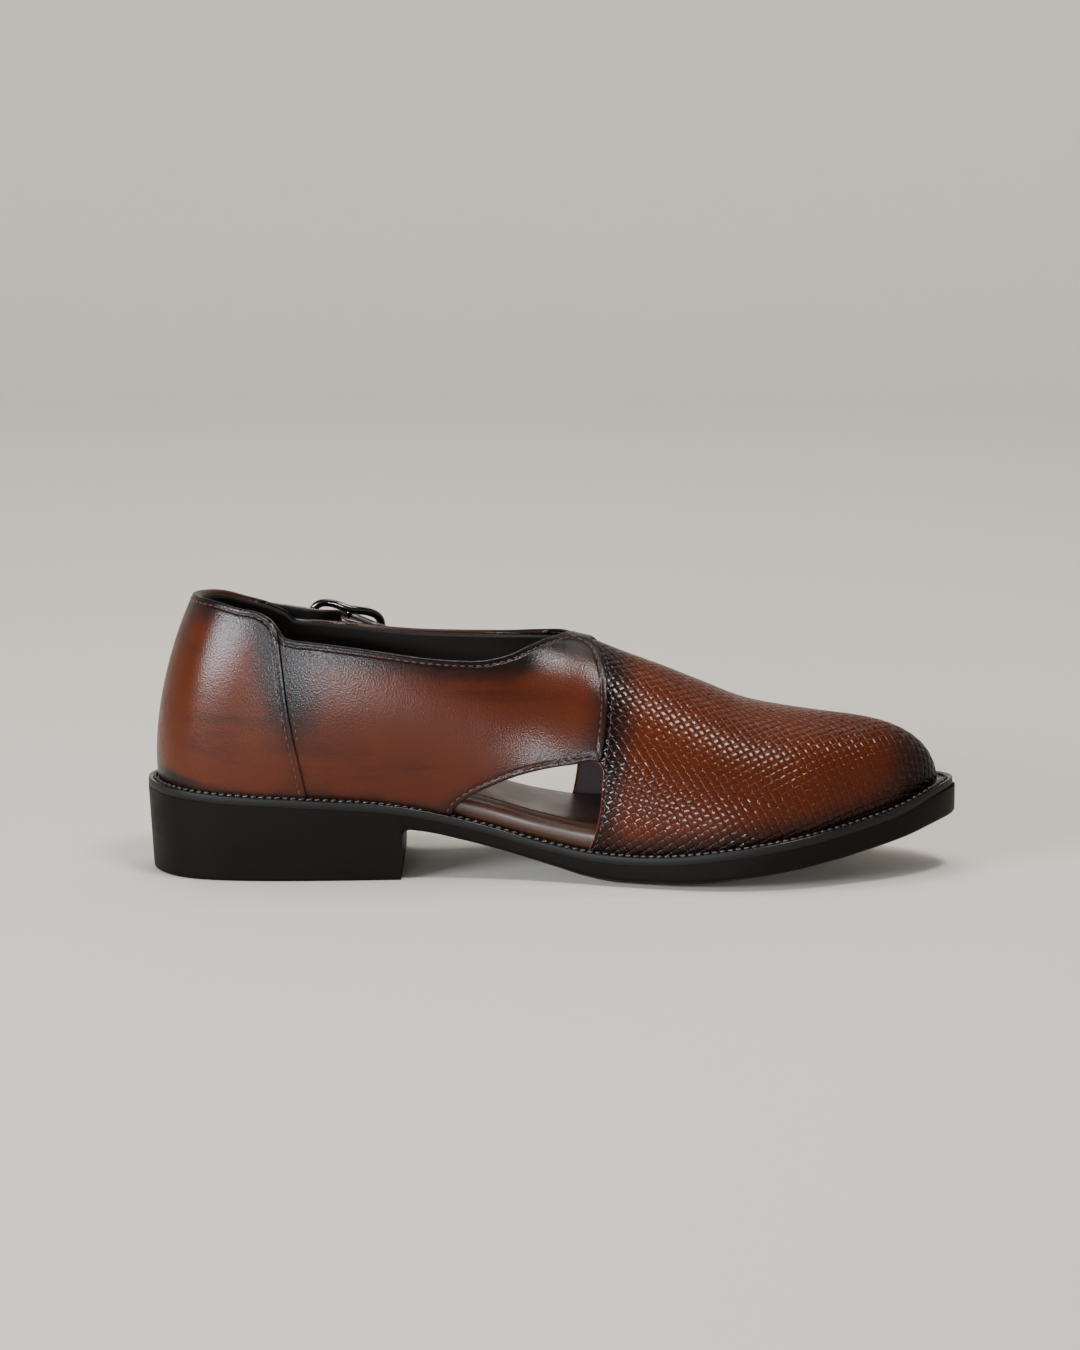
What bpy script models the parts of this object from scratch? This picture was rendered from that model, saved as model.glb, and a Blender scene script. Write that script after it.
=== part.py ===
"""A left peshawari chappal in the closed dress style, 297 mm long.

A woven vamp and plain quarters make one hollow upper, open at the collar and at a cut-out on
each side of the waist. It stands on a stitched welt and a moulded sole with a low block heel,
around a wrapped footbed. A strap from the heel closes in a buckle on the outer side.

Metres, +Z up, +X to the toe, +Y to the outer (lateral) side. The origin is on the floor, half
way along the heel. The sizes and tables count from the back of the sole instead.
"""

import math

import bmesh
import bpy
import numpy as np

# Sole and welt.
SOLE_LENGTH = 0.2970
BALL_WIDTH = 0.102
WAIST_WIDTH = 0.068
HEEL_WIDTH = 0.068
HEEL_SEAT_HEIGHT = 0.034
HEEL_LENGTH = 0.094
ARCH_HEIGHT = 0.0186
TOE_SPRING = 0.0225
WAIST_THICKNESS = 0.0085
FOREFOOT_THICKNESS = 0.0115
BALL_CROWN = 0.0024
SOLE_EDGE_BEVEL = 0.0013
HEEL_TAPER = 0.0018
WELT_THICKNESS = 0.0030
WELT_WIDTH = 0.0125
WELT_EDGE_ROUND = 0.0007
WELT_SETBACK = 0.0004
TOE_SETBACK = 0.0022

# Last, the form that the upper takes.
TOE_MARGIN = 0.0086
SIDE_MARGIN = 0.0070
WAIST_MARGIN = 0.0052
HEEL_MARGIN = 0.0080
BACK_HEIGHT = 0.1020
THROAT_HEIGHT = 0.0886
CONE_HEIGHT = 0.1340
TOE_BOX_HEIGHT = 0.0550

# Upper.
VAMP_WALL = 0.0020
QUARTER_STEP = 0.0012
COUNTER_STEP = 0.0011
LAYER_BITE = 0.0008
WALL_BELOW = 0.0060
COLLAR_DIP = 0.0802
LATERAL_COLLAR_DIP = 0.0838
COUNTER_TOP = 0.0972
COUNTER_SHOULDER = 0.0885
COUNTER_SEAM_X = 0.0500
FRONT_SEAM_X = 0.1688
WINDOW_REAR_X = 0.1130
WINDOW_FRONT_X = 0.1660
WINDOW_HEIGHT = 0.0440
LATERAL_WINDOW_SHIFT = -0.0080

# Footbed.
FOOTBED_RISE = 0.0078
FOOTBED_ROUND = 0.0022
FOOTBED_TOE_EASE = 0.0018

# Strap and buckle, on the outer side. Heights here are measured out from the quarter.
STRAP_WIDTH = 0.0160
STRAP_THICKNESS = 0.0018
STRAP_REAR = -0.0350
STRAP_TIP = 0.0400
TAB_WIDTH = 0.0140
TAB_FRONT = 0.0205
TAB_LAYER = 0.0010
BUCKLE_X = 0.0704
BUCKLE_LENGTH = 0.0272
BUCKLE_HEIGHT = 0.0244
BUCKLE_RAIL = 0.0028
BUCKLE_THICKNESS = 0.0022
BUCKLE_WAIST = 0.0007
CENTRE_BAR = 0.0018
PRONG = 0.0015

GAP = 0.0003
STATIONS = 46
WALL_ROWS = 12
REACH = 0.2
BLEND = 0.010

# Each row follows the width that it names, in shares: how far along the sole, how far the inner
# (medial) edge is from the axis and how far the outer (lateral) edge is.
SOLE_OUTLINE = (
    (0.000, HEEL_WIDTH, 0.000, 0.000),
    (0.018, HEEL_WIDTH, 0.262, 0.262),
    (0.060, HEEL_WIDTH, 0.424, 0.430),
    (0.134, HEEL_WIDTH, 0.488, 0.503),
    (0.236, HEEL_WIDTH, 0.482, 0.522),
    (0.337, WAIST_WIDTH, 0.449, 0.537),
    (0.438, WAIST_WIDTH, 0.440, 0.566),
    (0.522, BALL_WIDTH, 0.345, 0.418),
    (0.606, BALL_WIDTH, 0.430, 0.480),
    (0.684, BALL_WIDTH, 0.483, 0.508),
    (0.747, BALL_WIDTH, 0.490, 0.490),
    (0.818, BALL_WIDTH, 0.445, 0.438),
    (0.876, BALL_WIDTH, 0.368, 0.360),
    (0.930, BALL_WIDTH, 0.282, 0.270),
    (0.965, BALL_WIDTH, 0.202, 0.184),
    (0.986, BALL_WIDTH, 0.132, 0.106),
    (1.000, BALL_WIDTH, 0.022, -0.022),
)

# Under the heel: how far along the sole, and the height of the welt's top as a share of the seat.
HEEL_SEAT = (
    (0.000, 1.000),
    (0.100, 0.932),
    (0.201, 0.886),
    (0.302, 0.820),
)

# In front of the heel: how far along the sole, the height that lifts its underside and the share
# of it, then the thickness down to the underside, welt included, and the share of that.
FOREPART = (
    (0.320, ARCH_HEIGHT, 1.000, WAIST_THICKNESS, 1.000),
    (0.347, ARCH_HEIGHT, 0.935, WAIST_THICKNESS, 0.970),
    (0.394, ARCH_HEIGHT, 0.750, WAIST_THICKNESS, 0.980),
    (0.432, ARCH_HEIGHT, 0.580, WAIST_THICKNESS, 1.000),
    (0.472, ARCH_HEIGHT, 0.385, WAIST_THICKNESS, 1.030),
    (0.508, ARCH_HEIGHT, 0.215, WAIST_THICKNESS, 1.130),
    (0.542, ARCH_HEIGHT, 0.070, FOREFOOT_THICKNESS, 0.920),
    (0.572, TOE_SPRING, 0.000, FOREFOOT_THICKNESS, 0.985),
    (0.642, TOE_SPRING, 0.000, FOREFOOT_THICKNESS, 1.030),
    (0.688, TOE_SPRING, 0.055, FOREFOOT_THICKNESS, 1.070),
    (0.737, TOE_SPRING, 0.195, FOREFOOT_THICKNESS, 0.985),
    (0.798, TOE_SPRING, 0.375, FOREFOOT_THICKNESS, 0.895),
    (0.875, TOE_SPRING, 0.590, FOREFOOT_THICKNESS, 0.870),
    (0.933, TOE_SPRING, 0.775, FOREFOOT_THICKNESS, 0.880),
    (0.980, TOE_SPRING, 0.955, FOREFOOT_THICKNESS, 0.880),
    (1.000, TOE_SPRING, 1.000, FOREFOOT_THICKNESS, 0.870),
)

# How far along the sole, and the crown of the underside there as a share of the ball's.
CROWN = (
    (0.316, 0.10),
    (0.432, 0.40),
    (0.522, 0.85),
    (0.602, 1.00),
    (0.702, 1.00),
    (0.803, 0.45),
    (1.000, 0.15),
)

# The last's ridge, from behind the collar to the toe: how far along the sole, the height that it
# follows and the share of it. Behind the throat it is the cone of the last, above the collar.
RIDGE = (
    (0.199, CONE_HEIGHT, 1.015),
    (0.269, CONE_HEIGHT, 0.960),
    (0.338, CONE_HEIGHT, 0.872),
    (0.418, CONE_HEIGHT, 0.760),
    (0.473, THROAT_HEIGHT, 1.004),
    (0.516, THROAT_HEIGHT, 0.952),
    (0.547, THROAT_HEIGHT, 0.928),
    (0.585, THROAT_HEIGHT, 0.880),
    (0.634, THROAT_HEIGHT, 0.820),
    (0.684, THROAT_HEIGHT, 0.753),
    (0.733, TOE_BOX_HEIGHT, 1.108),
    (0.783, TOE_BOX_HEIGHT, 1.052),
    (0.833, TOE_BOX_HEIGHT, 1.017),
    (0.866, TOE_BOX_HEIGHT, 0.999),
)

# How far along the sole a section starts, how far along its ridge point is, and its fullness:
# the upright pull of the wall, its bulge outwards and the flatness of its top, with the last two
# given for the medial and then the lateral side.
FULLNESS = (
    (0.000, 0.222, 0.360, 0.040, 0.600, 0.040, 0.600),
    (0.060, 0.231, 0.380, 0.055, 0.640, 0.055, 0.640),
    (0.134, 0.251, 0.410, 0.090, 0.740, 0.080, 0.740),
    (0.236, 0.295, 0.420, 0.130, 0.850, 0.105, 0.830),
    (0.337, 0.354, 0.430, 0.135, 0.850, 0.090, 0.820),
    (0.438, 0.444, 0.450, 0.130, 0.740, 0.080, 0.720),
    (0.522, 0.524, 0.480, 0.110, 0.620, 0.070, 0.620),
    (0.606, 0.606, 0.470, 0.090, 0.560, 0.070, 0.580),
    (0.684, 0.680, 0.460, 0.070, 0.570, 0.070, 0.610),
    (0.747, 0.734, 0.480, 0.060, 0.610, 0.070, 0.650),
    (0.818, 0.784, 0.530, 0.050, 0.620, 0.060, 0.640),
    (0.876, 0.822, 0.570, 0.030, 0.600, 0.040, 0.610),
    (0.930, 0.848, 0.630, 0.005, 0.580, 0.010, 0.580),
    (1.000, 0.866, 0.650, -0.010, 0.560, -0.010, 0.560),
)

# How far along the sole, and how far the last stands in from the edge of the sole.
MARGIN = (
    (0.000, HEEL_MARGIN, 1.00),
    (0.149, HEEL_MARGIN, 0.92),
    (0.398, WAIST_MARGIN, 1.00),
    (0.522, WAIST_MARGIN, 1.10),
    (0.702, SIDE_MARGIN, 1.00),
    (0.876, SIDE_MARGIN, 1.03),
    (1.000, TOE_MARGIN, 1.00),
)

# The collar from the heel to the throat: how far along the sole, the height that it follows and
# the share of it, for each side.
MEDIAL_COLLAR = (
    (-0.099, BACK_HEIGHT, 0.998),
    (0.060, BACK_HEIGHT, 0.994),
    (0.090, BACK_HEIGHT, 0.989),
    (0.120, BACK_HEIGHT, 0.970),
    (0.148, COUNTER_TOP, 1.001),
    (0.161, COUNTER_TOP, 0.976),
    (0.168, COUNTER_SHOULDER, 1.042),
    (0.174, COUNTER_SHOULDER, 1.010),
    (0.183, COUNTER_SHOULDER, 0.998),
    (0.205, COUNTER_SHOULDER, 0.990),
    (0.244, COUNTER_SHOULDER, 0.974),
    (0.293, COLLAR_DIP, 1.049),
    (0.340, COLLAR_DIP, 1.021),
    (0.383, COLLAR_DIP, 1.004),
    (0.419, COLLAR_DIP, 1.001),
    (0.450, COLLAR_DIP, 1.022),
    (0.474, THROAT_HEIGHT, 0.955),
    (0.497, THROAT_HEIGHT, 0.980),
    (0.516, THROAT_HEIGHT, 0.990),
    (0.537, THROAT_HEIGHT, 1.000),
)
LATERAL_COLLAR = (
    (-0.099, BACK_HEIGHT, 0.998),
    (0.060, BACK_HEIGHT, 0.992),
    (0.090, BACK_HEIGHT, 0.977),
    (0.120, BACK_HEIGHT, 0.947),
    (0.148, COUNTER_TOP, 0.964),
    (0.161, COUNTER_TOP, 0.944),
    (0.168, COUNTER_SHOULDER, 1.024),
    (0.174, COUNTER_SHOULDER, 1.000),
    (0.183, COUNTER_SHOULDER, 0.992),
    (0.205, COUNTER_SHOULDER, 0.986),
    (0.244, COUNTER_SHOULDER, 0.973),
    (0.293, LATERAL_COLLAR_DIP, 1.008),
    (0.340, LATERAL_COLLAR_DIP, 0.998),
    (0.383, LATERAL_COLLAR_DIP, 0.998),
    (0.419, LATERAL_COLLAR_DIP, 1.002),
    (0.450, LATERAL_COLLAR_DIP, 1.010),
    (0.474, THROAT_HEIGHT, 0.968),
    (0.497, THROAT_HEIGHT, 0.980),
    (0.516, THROAT_HEIGHT, 0.990),
    (0.537, THROAT_HEIGHT, 1.000),
)

# The seam where a quarter ends on the vamp, from above the throat down: the share of its furthest
# place along the shoe, and the share of the throat's height.
FRONT_SEAM = (
    (0.880, 1.400),
    (0.905, 1.080),
    (0.932, 0.996),
    (0.962, 0.972),
    (0.984, 0.925),
    (0.996, 0.855),
    (1.000, 0.760),
    (0.997, 0.665),
    (0.991, 0.575),
    (0.984, 0.512),
    (0.950, 0.455),
    (0.900, 0.380),
    (0.880, -0.200),
)

# The front edge of the heel counter, from above the collar down: the share of its place at the
# top, and the share of the shoulder's height.
COUNTER_SEAM = (
    (0.960, 1.500),
    (0.985, 1.100),
    (1.010, 0.990),
    (1.030, 0.900),
    (1.055, 0.780),
    (1.095, 0.630),
    (1.150, 0.480),
    (1.195, 0.350),
    (1.240, -0.200),
)

# The cut-out, from its rear tip over the top and down the vamp's edge. The place is a share of the
# way from the rear to the front, and the height is a share of the cut-out's own.
WINDOW = (
    (-0.020, 0.500),
    (0.000, 0.590),
    (0.105, 0.700),
    (0.250, 0.790),
    (0.420, 0.872),
    (0.600, 0.932),
    (0.800, 0.977),
    (0.985, 1.000),
    (1.012, 0.960),
    (1.012, 0.830),
    (0.996, 0.600),
    (0.965, 0.420),
    (0.915, 0.250),
    (0.840, 0.000),
    (0.820, -0.300),
    (-0.040, -0.300),
)

# The middle line of the strap: how far along the sole, and the share of the back's height.
STRAP_LINE = (
    (0.119, 0.847),
    (0.168, 0.822),
    (0.202, 0.806),
    (0.221, 0.796),
    (0.243, 0.780),
    (0.270, 0.754),
    (0.303, 0.720),
    (0.336, 0.687),
    (0.390, 0.634),
)

# How far along the strap from the bar of the buckle, as a share of the frame's length, and how
# high the strap's inner face rides there, as a share of its height over the bar.
STRAP_RIDE = (
    (-1.400, 0.350),
    (-0.700, 0.350),
    (-0.400, 0.310),
    (-0.310, 0.370),
    (-0.200, 0.640),
    (-0.090, 0.950),
    (0.000, 1.020),
    (0.090, 0.980),
    (0.200, 0.800),
    (0.320, 0.590),
    (0.450, 0.510),
    (0.740, 0.500),
    (0.900, 0.380),
    (1.100, 0.200),
    (1.500, 0.080),
)

# The frame's rails: how far along, as a share of its half length, and their height there as a
# share of the strap's height over the bar.
RAIL_RIDE = (
    (-1.000, 0.960),
    (-0.750, 0.940),
    (-0.450, 0.770),
    (0.000, 0.560),
    (0.450, 0.860),
    (0.750, 1.130),
    (1.000, 1.220),
)

BLACK_RUBBER = ("sole_rubber", (0.018, 0.014, 0.012), 0.50, 0.0)
WELT_BLACK = ("welt_leather", (0.012, 0.010, 0.010), 0.32, 0.0)
TAN_LEATHER = ("upper_leather", (0.235, 0.070, 0.026), 0.34, 0.0)
LINING_BROWN = ("footbed_leather", (0.085, 0.035, 0.022), 0.42, 0.0)
STRAP_LEATHER = ("strap_leather", (0.150, 0.048, 0.022), 0.36, 0.0)
TAB_LEATHER = ("tab_leather", (0.140, 0.045, 0.021), 0.38, 0.0)
FRAME_METAL = ("frame_metal", (0.020, 0.020, 0.022), 0.22, 0.9)
PRONG_METAL = ("prong_metal", (0.024, 0.024, 0.026), 0.24, 0.9)


def clear_scene():
    for obj in list(bpy.data.objects):
        bpy.data.objects.remove(obj)


def smooth(knots, values, at):
    """A cubic curve through the values, with slopes taken from the neighbours of each."""
    knots = np.asarray(knots, float)
    values = np.asarray(values, float)
    at = np.clip(np.asarray(at, float), knots[0], knots[-1])
    steps = np.diff(knots)
    rises = np.diff(values) / steps
    slopes = np.empty(len(knots))
    slopes[1:-1] = (rises[:-1] * steps[1:] + rises[1:] * steps[:-1]) / (steps[:-1] + steps[1:])
    slopes[0] = rises[0]
    slopes[-1] = rises[-1]
    cell = np.clip(np.searchsorted(knots, at, side="right") - 1, 0, len(steps) - 1)
    h = steps[cell]
    t = (at - knots[cell]) / h
    rise = values[cell + 1] - values[cell]
    start = slopes[cell] * h - rise
    end = rise - slopes[cell + 1] * h
    return values[cell] + t * rise + t * (1 - t) * ((1 - t) * start + t * end)


def round_loop(points, count):
    """A closed curve through the points, even in curvature, as count points."""
    points = np.asarray(points, float)
    n = len(points)
    chords = np.linalg.norm(np.roll(points, -1, axis=0) - points, axis=1) ** 0.5
    before = np.roll(chords, 1)
    system = np.zeros((n, n))
    rises = (np.roll(points, -1, axis=0) - points) / chords[:, None]
    for i in range(n):
        system[i, i] = 2 * (before[i] + chords[i])
        system[i, i - 1] += before[i]
        system[i, (i + 1) % n] += chords[i]
    bends = np.linalg.solve(system, 6 * (rises - np.roll(rises, 1, axis=0)))
    knots = np.concatenate([[0], np.cumsum(chords)])
    at = np.linspace(0, knots[-1], count, endpoint=False)
    cell = np.clip(np.searchsorted(knots, at, side="right") - 1, 0, n - 1)
    following = (cell + 1) % n
    h = chords[cell][:, None]
    a = (knots[cell + 1] - at)[:, None]
    b = (at - knots[cell])[:, None]
    return (
        bends[cell] * a**3 / (6 * h)
        + bends[following] * b**3 / (6 * h)
        + (points[cell] / h - bends[cell] * h / 6) * a
        + (points[following] / h - bends[following] * h / 6) * b
    )


def dense_outline():
    """The sole's edge as two lists of places, medial and lateral, each from heel to toe."""
    medial = [(x * SOLE_LENGTH, -m * width) for x, width, m, _ in SOLE_OUTLINE]
    lateral = [(x * SOLE_LENGTH, l * width) for x, width, _, l in SOLE_OUTLINE]
    loop = round_loop(medial + lateral[-2:0:-1], 4000)
    heel = int(np.argmin(loop[:, 0]))
    loop = np.roll(loop, -heel, axis=0)
    toe = int(np.argmax(loop[:, 0]))
    return loop[: toe + 1], np.vstack([loop[toe:], loop[:1]])[::-1]


def stations(count, extra=()):
    """Places along the shoe, close together at both rounded ends."""
    at = SOLE_LENGTH * (1 - np.cos(np.linspace(0, math.pi, count + 1))) / 2
    kept = [x for x in at if all(abs(x - e) > 0.0012 for e in extra)]
    return np.array(sorted(kept + list(extra)))


def inset_loop(sides, distance):
    """Both sides moved in by a distance that may change along the shoe, from heel to toe."""
    moved = []
    for side, sign in zip(sides, (1, -1)):
        along = np.gradient(side, axis=0)
        along /= np.linalg.norm(along, axis=1)[:, None] + 1e-12
        normal = np.stack([-along[:, 1], along[:, 0]], axis=1) * sign
        reach = distance(side[:, 0]) if callable(distance) else distance
        moved.append(side + normal * np.reshape(reach, (-1, 1)))
    return moved


def across(side, xs):
    """The place of one edge at each station. The first and last stations are its ends."""
    order = np.maximum.accumulate(side[:, 0])
    return np.interp(xs, order, side[:, 1])


def edge_loop(sides, xs):
    """An outline as one closed loop: heel, medial side, toe, lateral side. The stations are moved
    near both ends so that they reach from end to end, so loops of nested outlines match."""
    medial, lateral = sides
    heel = (medial[0] + lateral[0]) / 2
    toe = (medial[-1] + lateral[-1]) / 2
    middle = (xs[0] + xs[-1]) / 2
    blend = np.clip(np.abs(xs - middle) / (xs[-1] - middle), 0, 1) ** 6
    moved = xs + np.where(xs < middle, heel[0] - xs[0], toe[0] - xs[-1]) * blend
    m = np.stack([moved, across(medial, moved)], axis=1)
    l = np.stack([moved, across(lateral, moved)], axis=1)
    m[0] = l[0] = heel
    m[-1] = l[-1] = toe
    return np.vstack([m, l[-2:0:-1]])


def seat_heights():
    rows = [(x * SOLE_LENGTH, share * HEEL_SEAT_HEIGHT) for x, share in HEEL_SEAT]
    rows += [(x * SOLE_LENGTH, rise * a + thick * b) for x, rise, a, thick, b in FOREPART]
    return zip(*rows)


def welt_top(x):
    """The height of the welt's upper face, which the upper stands on."""
    return smooth(*seat_heights(), x)


def underside(x):
    """The height of the sole's lowest line. The heel block stands on the floor."""
    rows = [(at * SOLE_LENGTH, rise * share) for at, rise, share, _, _ in FOREPART]
    arch = np.maximum(smooth(*zip(*rows), x), 0)
    return np.where(np.asarray(x) <= HEEL_LENGTH, 0.0, arch)


def crown(x):
    """How much higher the underside is at its edge than in its middle."""
    rows = [(at * SOLE_LENGTH, share * BALL_CROWN) for at, share in CROWN]
    return np.where(np.asarray(x) <= HEEL_LENGTH, 0.0, smooth(*zip(*rows), x))


def margin(x):
    rows = [(at * SOLE_LENGTH, size * share) for at, size, share in MARGIN]
    return smooth(*zip(*rows), x)


def collar_height(table, x):
    return smooth([r[0] * SOLE_LENGTH for r in table], [r[1] * r[2] for r in table], x)


def material(look):
    name, colour, roughness, metallic = look
    made = bpy.data.materials.get(name) or bpy.data.materials.new(name)
    made.use_nodes = True
    made.diffuse_color = (*colour, 1)
    shader = made.node_tree.nodes["Principled BSDF"]
    shader.inputs["Base Color"].default_value = (*colour, 1)
    shader.inputs["Roughness"].default_value = roughness
    shader.inputs["Metallic"].default_value = metallic
    return made


def add_object(name, points, faces, look=None):
    """A mesh object with its faces pointing outwards. With no look it is a hidden cutter."""
    mesh = bpy.data.meshes.new(name)
    mesh.from_pydata([tuple(p) for p in points], [], faces)
    shape = bmesh.new()
    shape.from_mesh(mesh)
    bmesh.ops.remove_doubles(shape, verts=shape.verts, dist=1e-6)
    bmesh.ops.recalc_face_normals(shape, faces=shape.faces)
    shape.to_mesh(mesh)
    shape.free()
    obj = bpy.data.objects.new(name, mesh)
    obj.location.x = -HEEL_LENGTH / 2
    bpy.context.scene.collection.objects.link(obj)
    if look is None:
        obj.hide_render = True
        obj.display_type = "WIRE"
    else:
        mesh.materials.append(material(look))
        mesh.shade_smooth()
        mesh.set_sharp_from_angle(angle=math.radians(35))
    return obj


def combine(obj, operation, other):
    modifier = obj.modifiers.new(other.name, "BOOLEAN")
    modifier.operation = operation
    modifier.object = other
    return obj


def slab(name, rings, lid_rows, look=None):
    """A closed plate. Its wall passes through the rings from the bottom up. Each ring is a loop of
    (x, y, z) with the same count, and lid_rows says how many strips cross its two flat faces."""
    points = [tuple(p) for ring in rings for p in ring]
    count = len(rings[0])
    half = count // 2
    faces = []
    for r in range(len(rings) - 1):
        for k in range(count):
            n = (k + 1) % count
            base, top = r * count, (r + 1) * count
            faces.append((base + k, base + n, top + n, top + k))
    for r, sign in ((0, -1), (len(rings) - 1, 1)):
        ring = np.asarray(rings[r])
        rows = []
        for i in range(half + 1):
            medial, lateral = r * count + i, r * count + (count - i) % count
            if i in (0, half):
                rows.append([medial] * (lid_rows + 1))
                continue
            row = [medial]
            for j in range(1, lid_rows):
                t = j / lid_rows
                points.append(tuple(ring[i] * (1 - t) + ring[count - i] * t))
                row.append(len(points) - 1)
            rows.append(row + [lateral])
        for a, b in zip(rows, rows[1:]):
            for j in range(lid_rows):
                corners = [a[j], a[j + 1], b[j + 1], b[j]]
                face = [c for n, c in enumerate(corners) if c not in corners[:n]]
                faces.append(tuple(face[::-sign]))
    return add_object(name, points, faces, look)


def ring_at(loop, heights):
    return np.column_stack([loop, np.broadcast_to(heights, len(loop))])


def loft(name, rings):
    """A cutter whose wall passes through rings of (x, y, z), closed at the first and the last."""
    count = len(rings[0])
    points = [p for ring in rings for p in ring]
    last = (len(rings) - 1) * count
    faces = [tuple(range(count)), tuple(range(last + count - 1, last - 1, -1))]
    for r in range(len(rings) - 1):
        for k in range(count):
            n = (k + 1) % count
            faces.append((r * count + k, r * count + n, (r + 1) * count + n, (r + 1) * count + k))
    return add_object(name, points, faces)


def side_cutter(name, medial, lateral, near=-REACH, far=REACH):
    """A side view outline in X and Z, pushed across the shoe, that changes over the middle."""
    places = ((near, medial), (-BLEND, medial), (BLEND, lateral), (far, lateral))
    return loft(name, [[(x, y, z) for x, z in outline] for y, outline in places if near <= y <= far])


class Last:
    """The form inside the upper: rings round the foot from the sole up, closed by a ridge."""

    def __init__(self, sides, count=STATIONS, rows=WALL_ROWS):
        loop = edge_loop(inset_loop(sides, margin), stations(count))
        self.half = count
        self.rings, self.ridge = self.wall_curves(loop, rows)
        self.normals = self.point_normals()

    def wall_curves(self, loop, rows):
        count = len(loop)
        share = loop[:, 0] / SOLE_LENGTH
        columns = list(zip(*FULLNESS))
        at = [smooth(columns[0], column, share) for column in columns[1:]]
        ridge_x = at[0] * SOLE_LENGTH
        ridge_rows = [(x * SOLE_LENGTH, size * part) for x, size, part in RIDGE]
        ridge_z = smooth(*zip(*ridge_rows), ridge_x)
        step = 0.0005
        fall = (smooth(*zip(*ridge_rows), ridge_x + step) - ridge_z) / step
        fall[ridge_x > ridge_rows[-1][0] - step] = (
            ridge_rows[-1][1] - ridge_rows[-2][1]
        ) / (ridge_rows[-1][0] - ridge_rows[-2][0])
        ridge_y = np.interp(ridge_x, [0.15, SOLE_LENGTH], [0.0, -0.006])
        lateral = np.arange(count) > count // 2
        bulge = np.where(lateral, at[4], at[2])
        flat = np.where(lateral, at[5], at[3])
        foot = np.column_stack([loop, welt_top(loop[:, 0])])
        top = np.column_stack([ridge_x, ridge_y, ridge_z])
        out = foot[:, :2] - top[:, :2]
        reach = np.linalg.norm(out, axis=1)
        out /= reach[:, None]
        tall = top[:, 2] - foot[:, 2]
        low = foot + np.column_stack([out * (bulge * tall)[:, None], at[1] * tall])
        tangent = np.column_stack([out, fall * out[:, 0]])
        high = top + tangent * (flat * reach)[:, None]
        below = foot - np.array([0, 0, WALL_BELOW])
        rings = [below]
        for t in np.linspace(0, 1, rows + 1)[:-1]:
            rings.append(
                foot * (1 - t) ** 3
                + low * 3 * t * (1 - t) ** 2
                + high * 3 * t**2 * (1 - t)
                + top * t**3
            )
        return rings, top[: count // 2 + 1]

    def faces(self):
        count = 2 * self.half
        faces = []
        for r in range(len(self.rings) - 1):
            for k in range(count):
                n = (k + 1) % count
                faces.append(
                    (r * count + k, r * count + n, (r + 1) * count + n, (r + 1) * count + k)
                )
        last, top = (len(self.rings) - 1) * count, len(self.rings) * count
        for k in range(count):
            n = (k + 1) % count
            a, b = top + min(k, count - k), top + min(n, count - n)
            faces.append((last + k, last + n, b, a))
        return faces

    def points(self, offset=0.0):
        base = np.vstack(self.rings + [self.ridge])
        return base if offset == 0 else base + self.normals * offset

    def point_normals(self):
        """The outward normal at each point, from the faces round it."""
        points = self.points()
        normals = np.zeros_like(points)
        for face in self.faces():
            a, b, c, d = (points[i] for i in face)
            across_face = np.cross(c - a, d - b)
            for i in face:
                normals[i] += across_face
        normals /= np.linalg.norm(normals, axis=1)[:, None]
        normals[: 2 * self.half] = normals[2 * self.half : 4 * self.half]
        level = normals[: 4 * self.half]
        level[:, 2] *= 0.3
        level /= np.linalg.norm(level, axis=1)[:, None]
        return normals

    def shell(self, name, inner, outer, look=None):
        """The leather between two offsets from the last, open underneath."""
        count = len(self.points())
        outside = [tri for a, b, c, d in self.faces() for tri in ((a, b, c), (a, c, d))]
        outside = [tri for tri in outside if len(set(tri)) == 3]
        inside = [tuple(i + count for i in face[::-1]) for face in outside]
        loop = 2 * self.half
        rim = [
            ((k + 1) % loop, k, k + count, (k + 1) % loop + count) for k in range(loop)
        ]
        points = np.vstack([self.points(outer), self.points(inner)])
        return add_object(name, points, outside + inside + rim, look)

    def side_finder(self, side, offset):
        """A function that gives the point and the outward normal that a side view shows at x, z."""
        loop = 2 * self.half
        points = self.points(offset)
        quads = np.array([f for f in self.faces() if f[0] >= loop])
        tris = np.vstack([quads[:, [0, 1, 2]], quads[:, [0, 2, 3]]])
        corners = points[tris]
        tris = tris[corners[:, :, 1].mean(axis=1) * side > 0]
        corners = points[tris]
        a, b, c = corners[:, 0], corners[:, 1], corners[:, 2]
        area = (b[:, 0] - a[:, 0]) * (c[:, 2] - a[:, 2]) - (c[:, 0] - a[:, 0]) * (b[:, 2] - a[:, 2])
        area = np.where(np.abs(area) < 1e-14, np.nan, area)

        def find(x, z):
            u = ((x - a[:, 0]) * (c[:, 2] - a[:, 2]) - (c[:, 0] - a[:, 0]) * (z - a[:, 2])) / area
            v = ((b[:, 0] - a[:, 0]) * (z - a[:, 2]) - (x - a[:, 0]) * (b[:, 2] - a[:, 2])) / area
            hit = np.flatnonzero((u > -1e-6) & (v > -1e-6) & (u + v < 1 + 1e-6))
            shares = np.stack([1 - u[hit] - v[hit], u[hit], v[hit]], axis=1)
            found = np.einsum("ij,ijk->ik", shares, corners[hit])
            best = int(np.argmax(found[:, 1] * side))
            normal = shares[best] @ self.normals[tris[hit[best]]]
            return found[best], normal / np.linalg.norm(normal)

        return find


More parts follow.
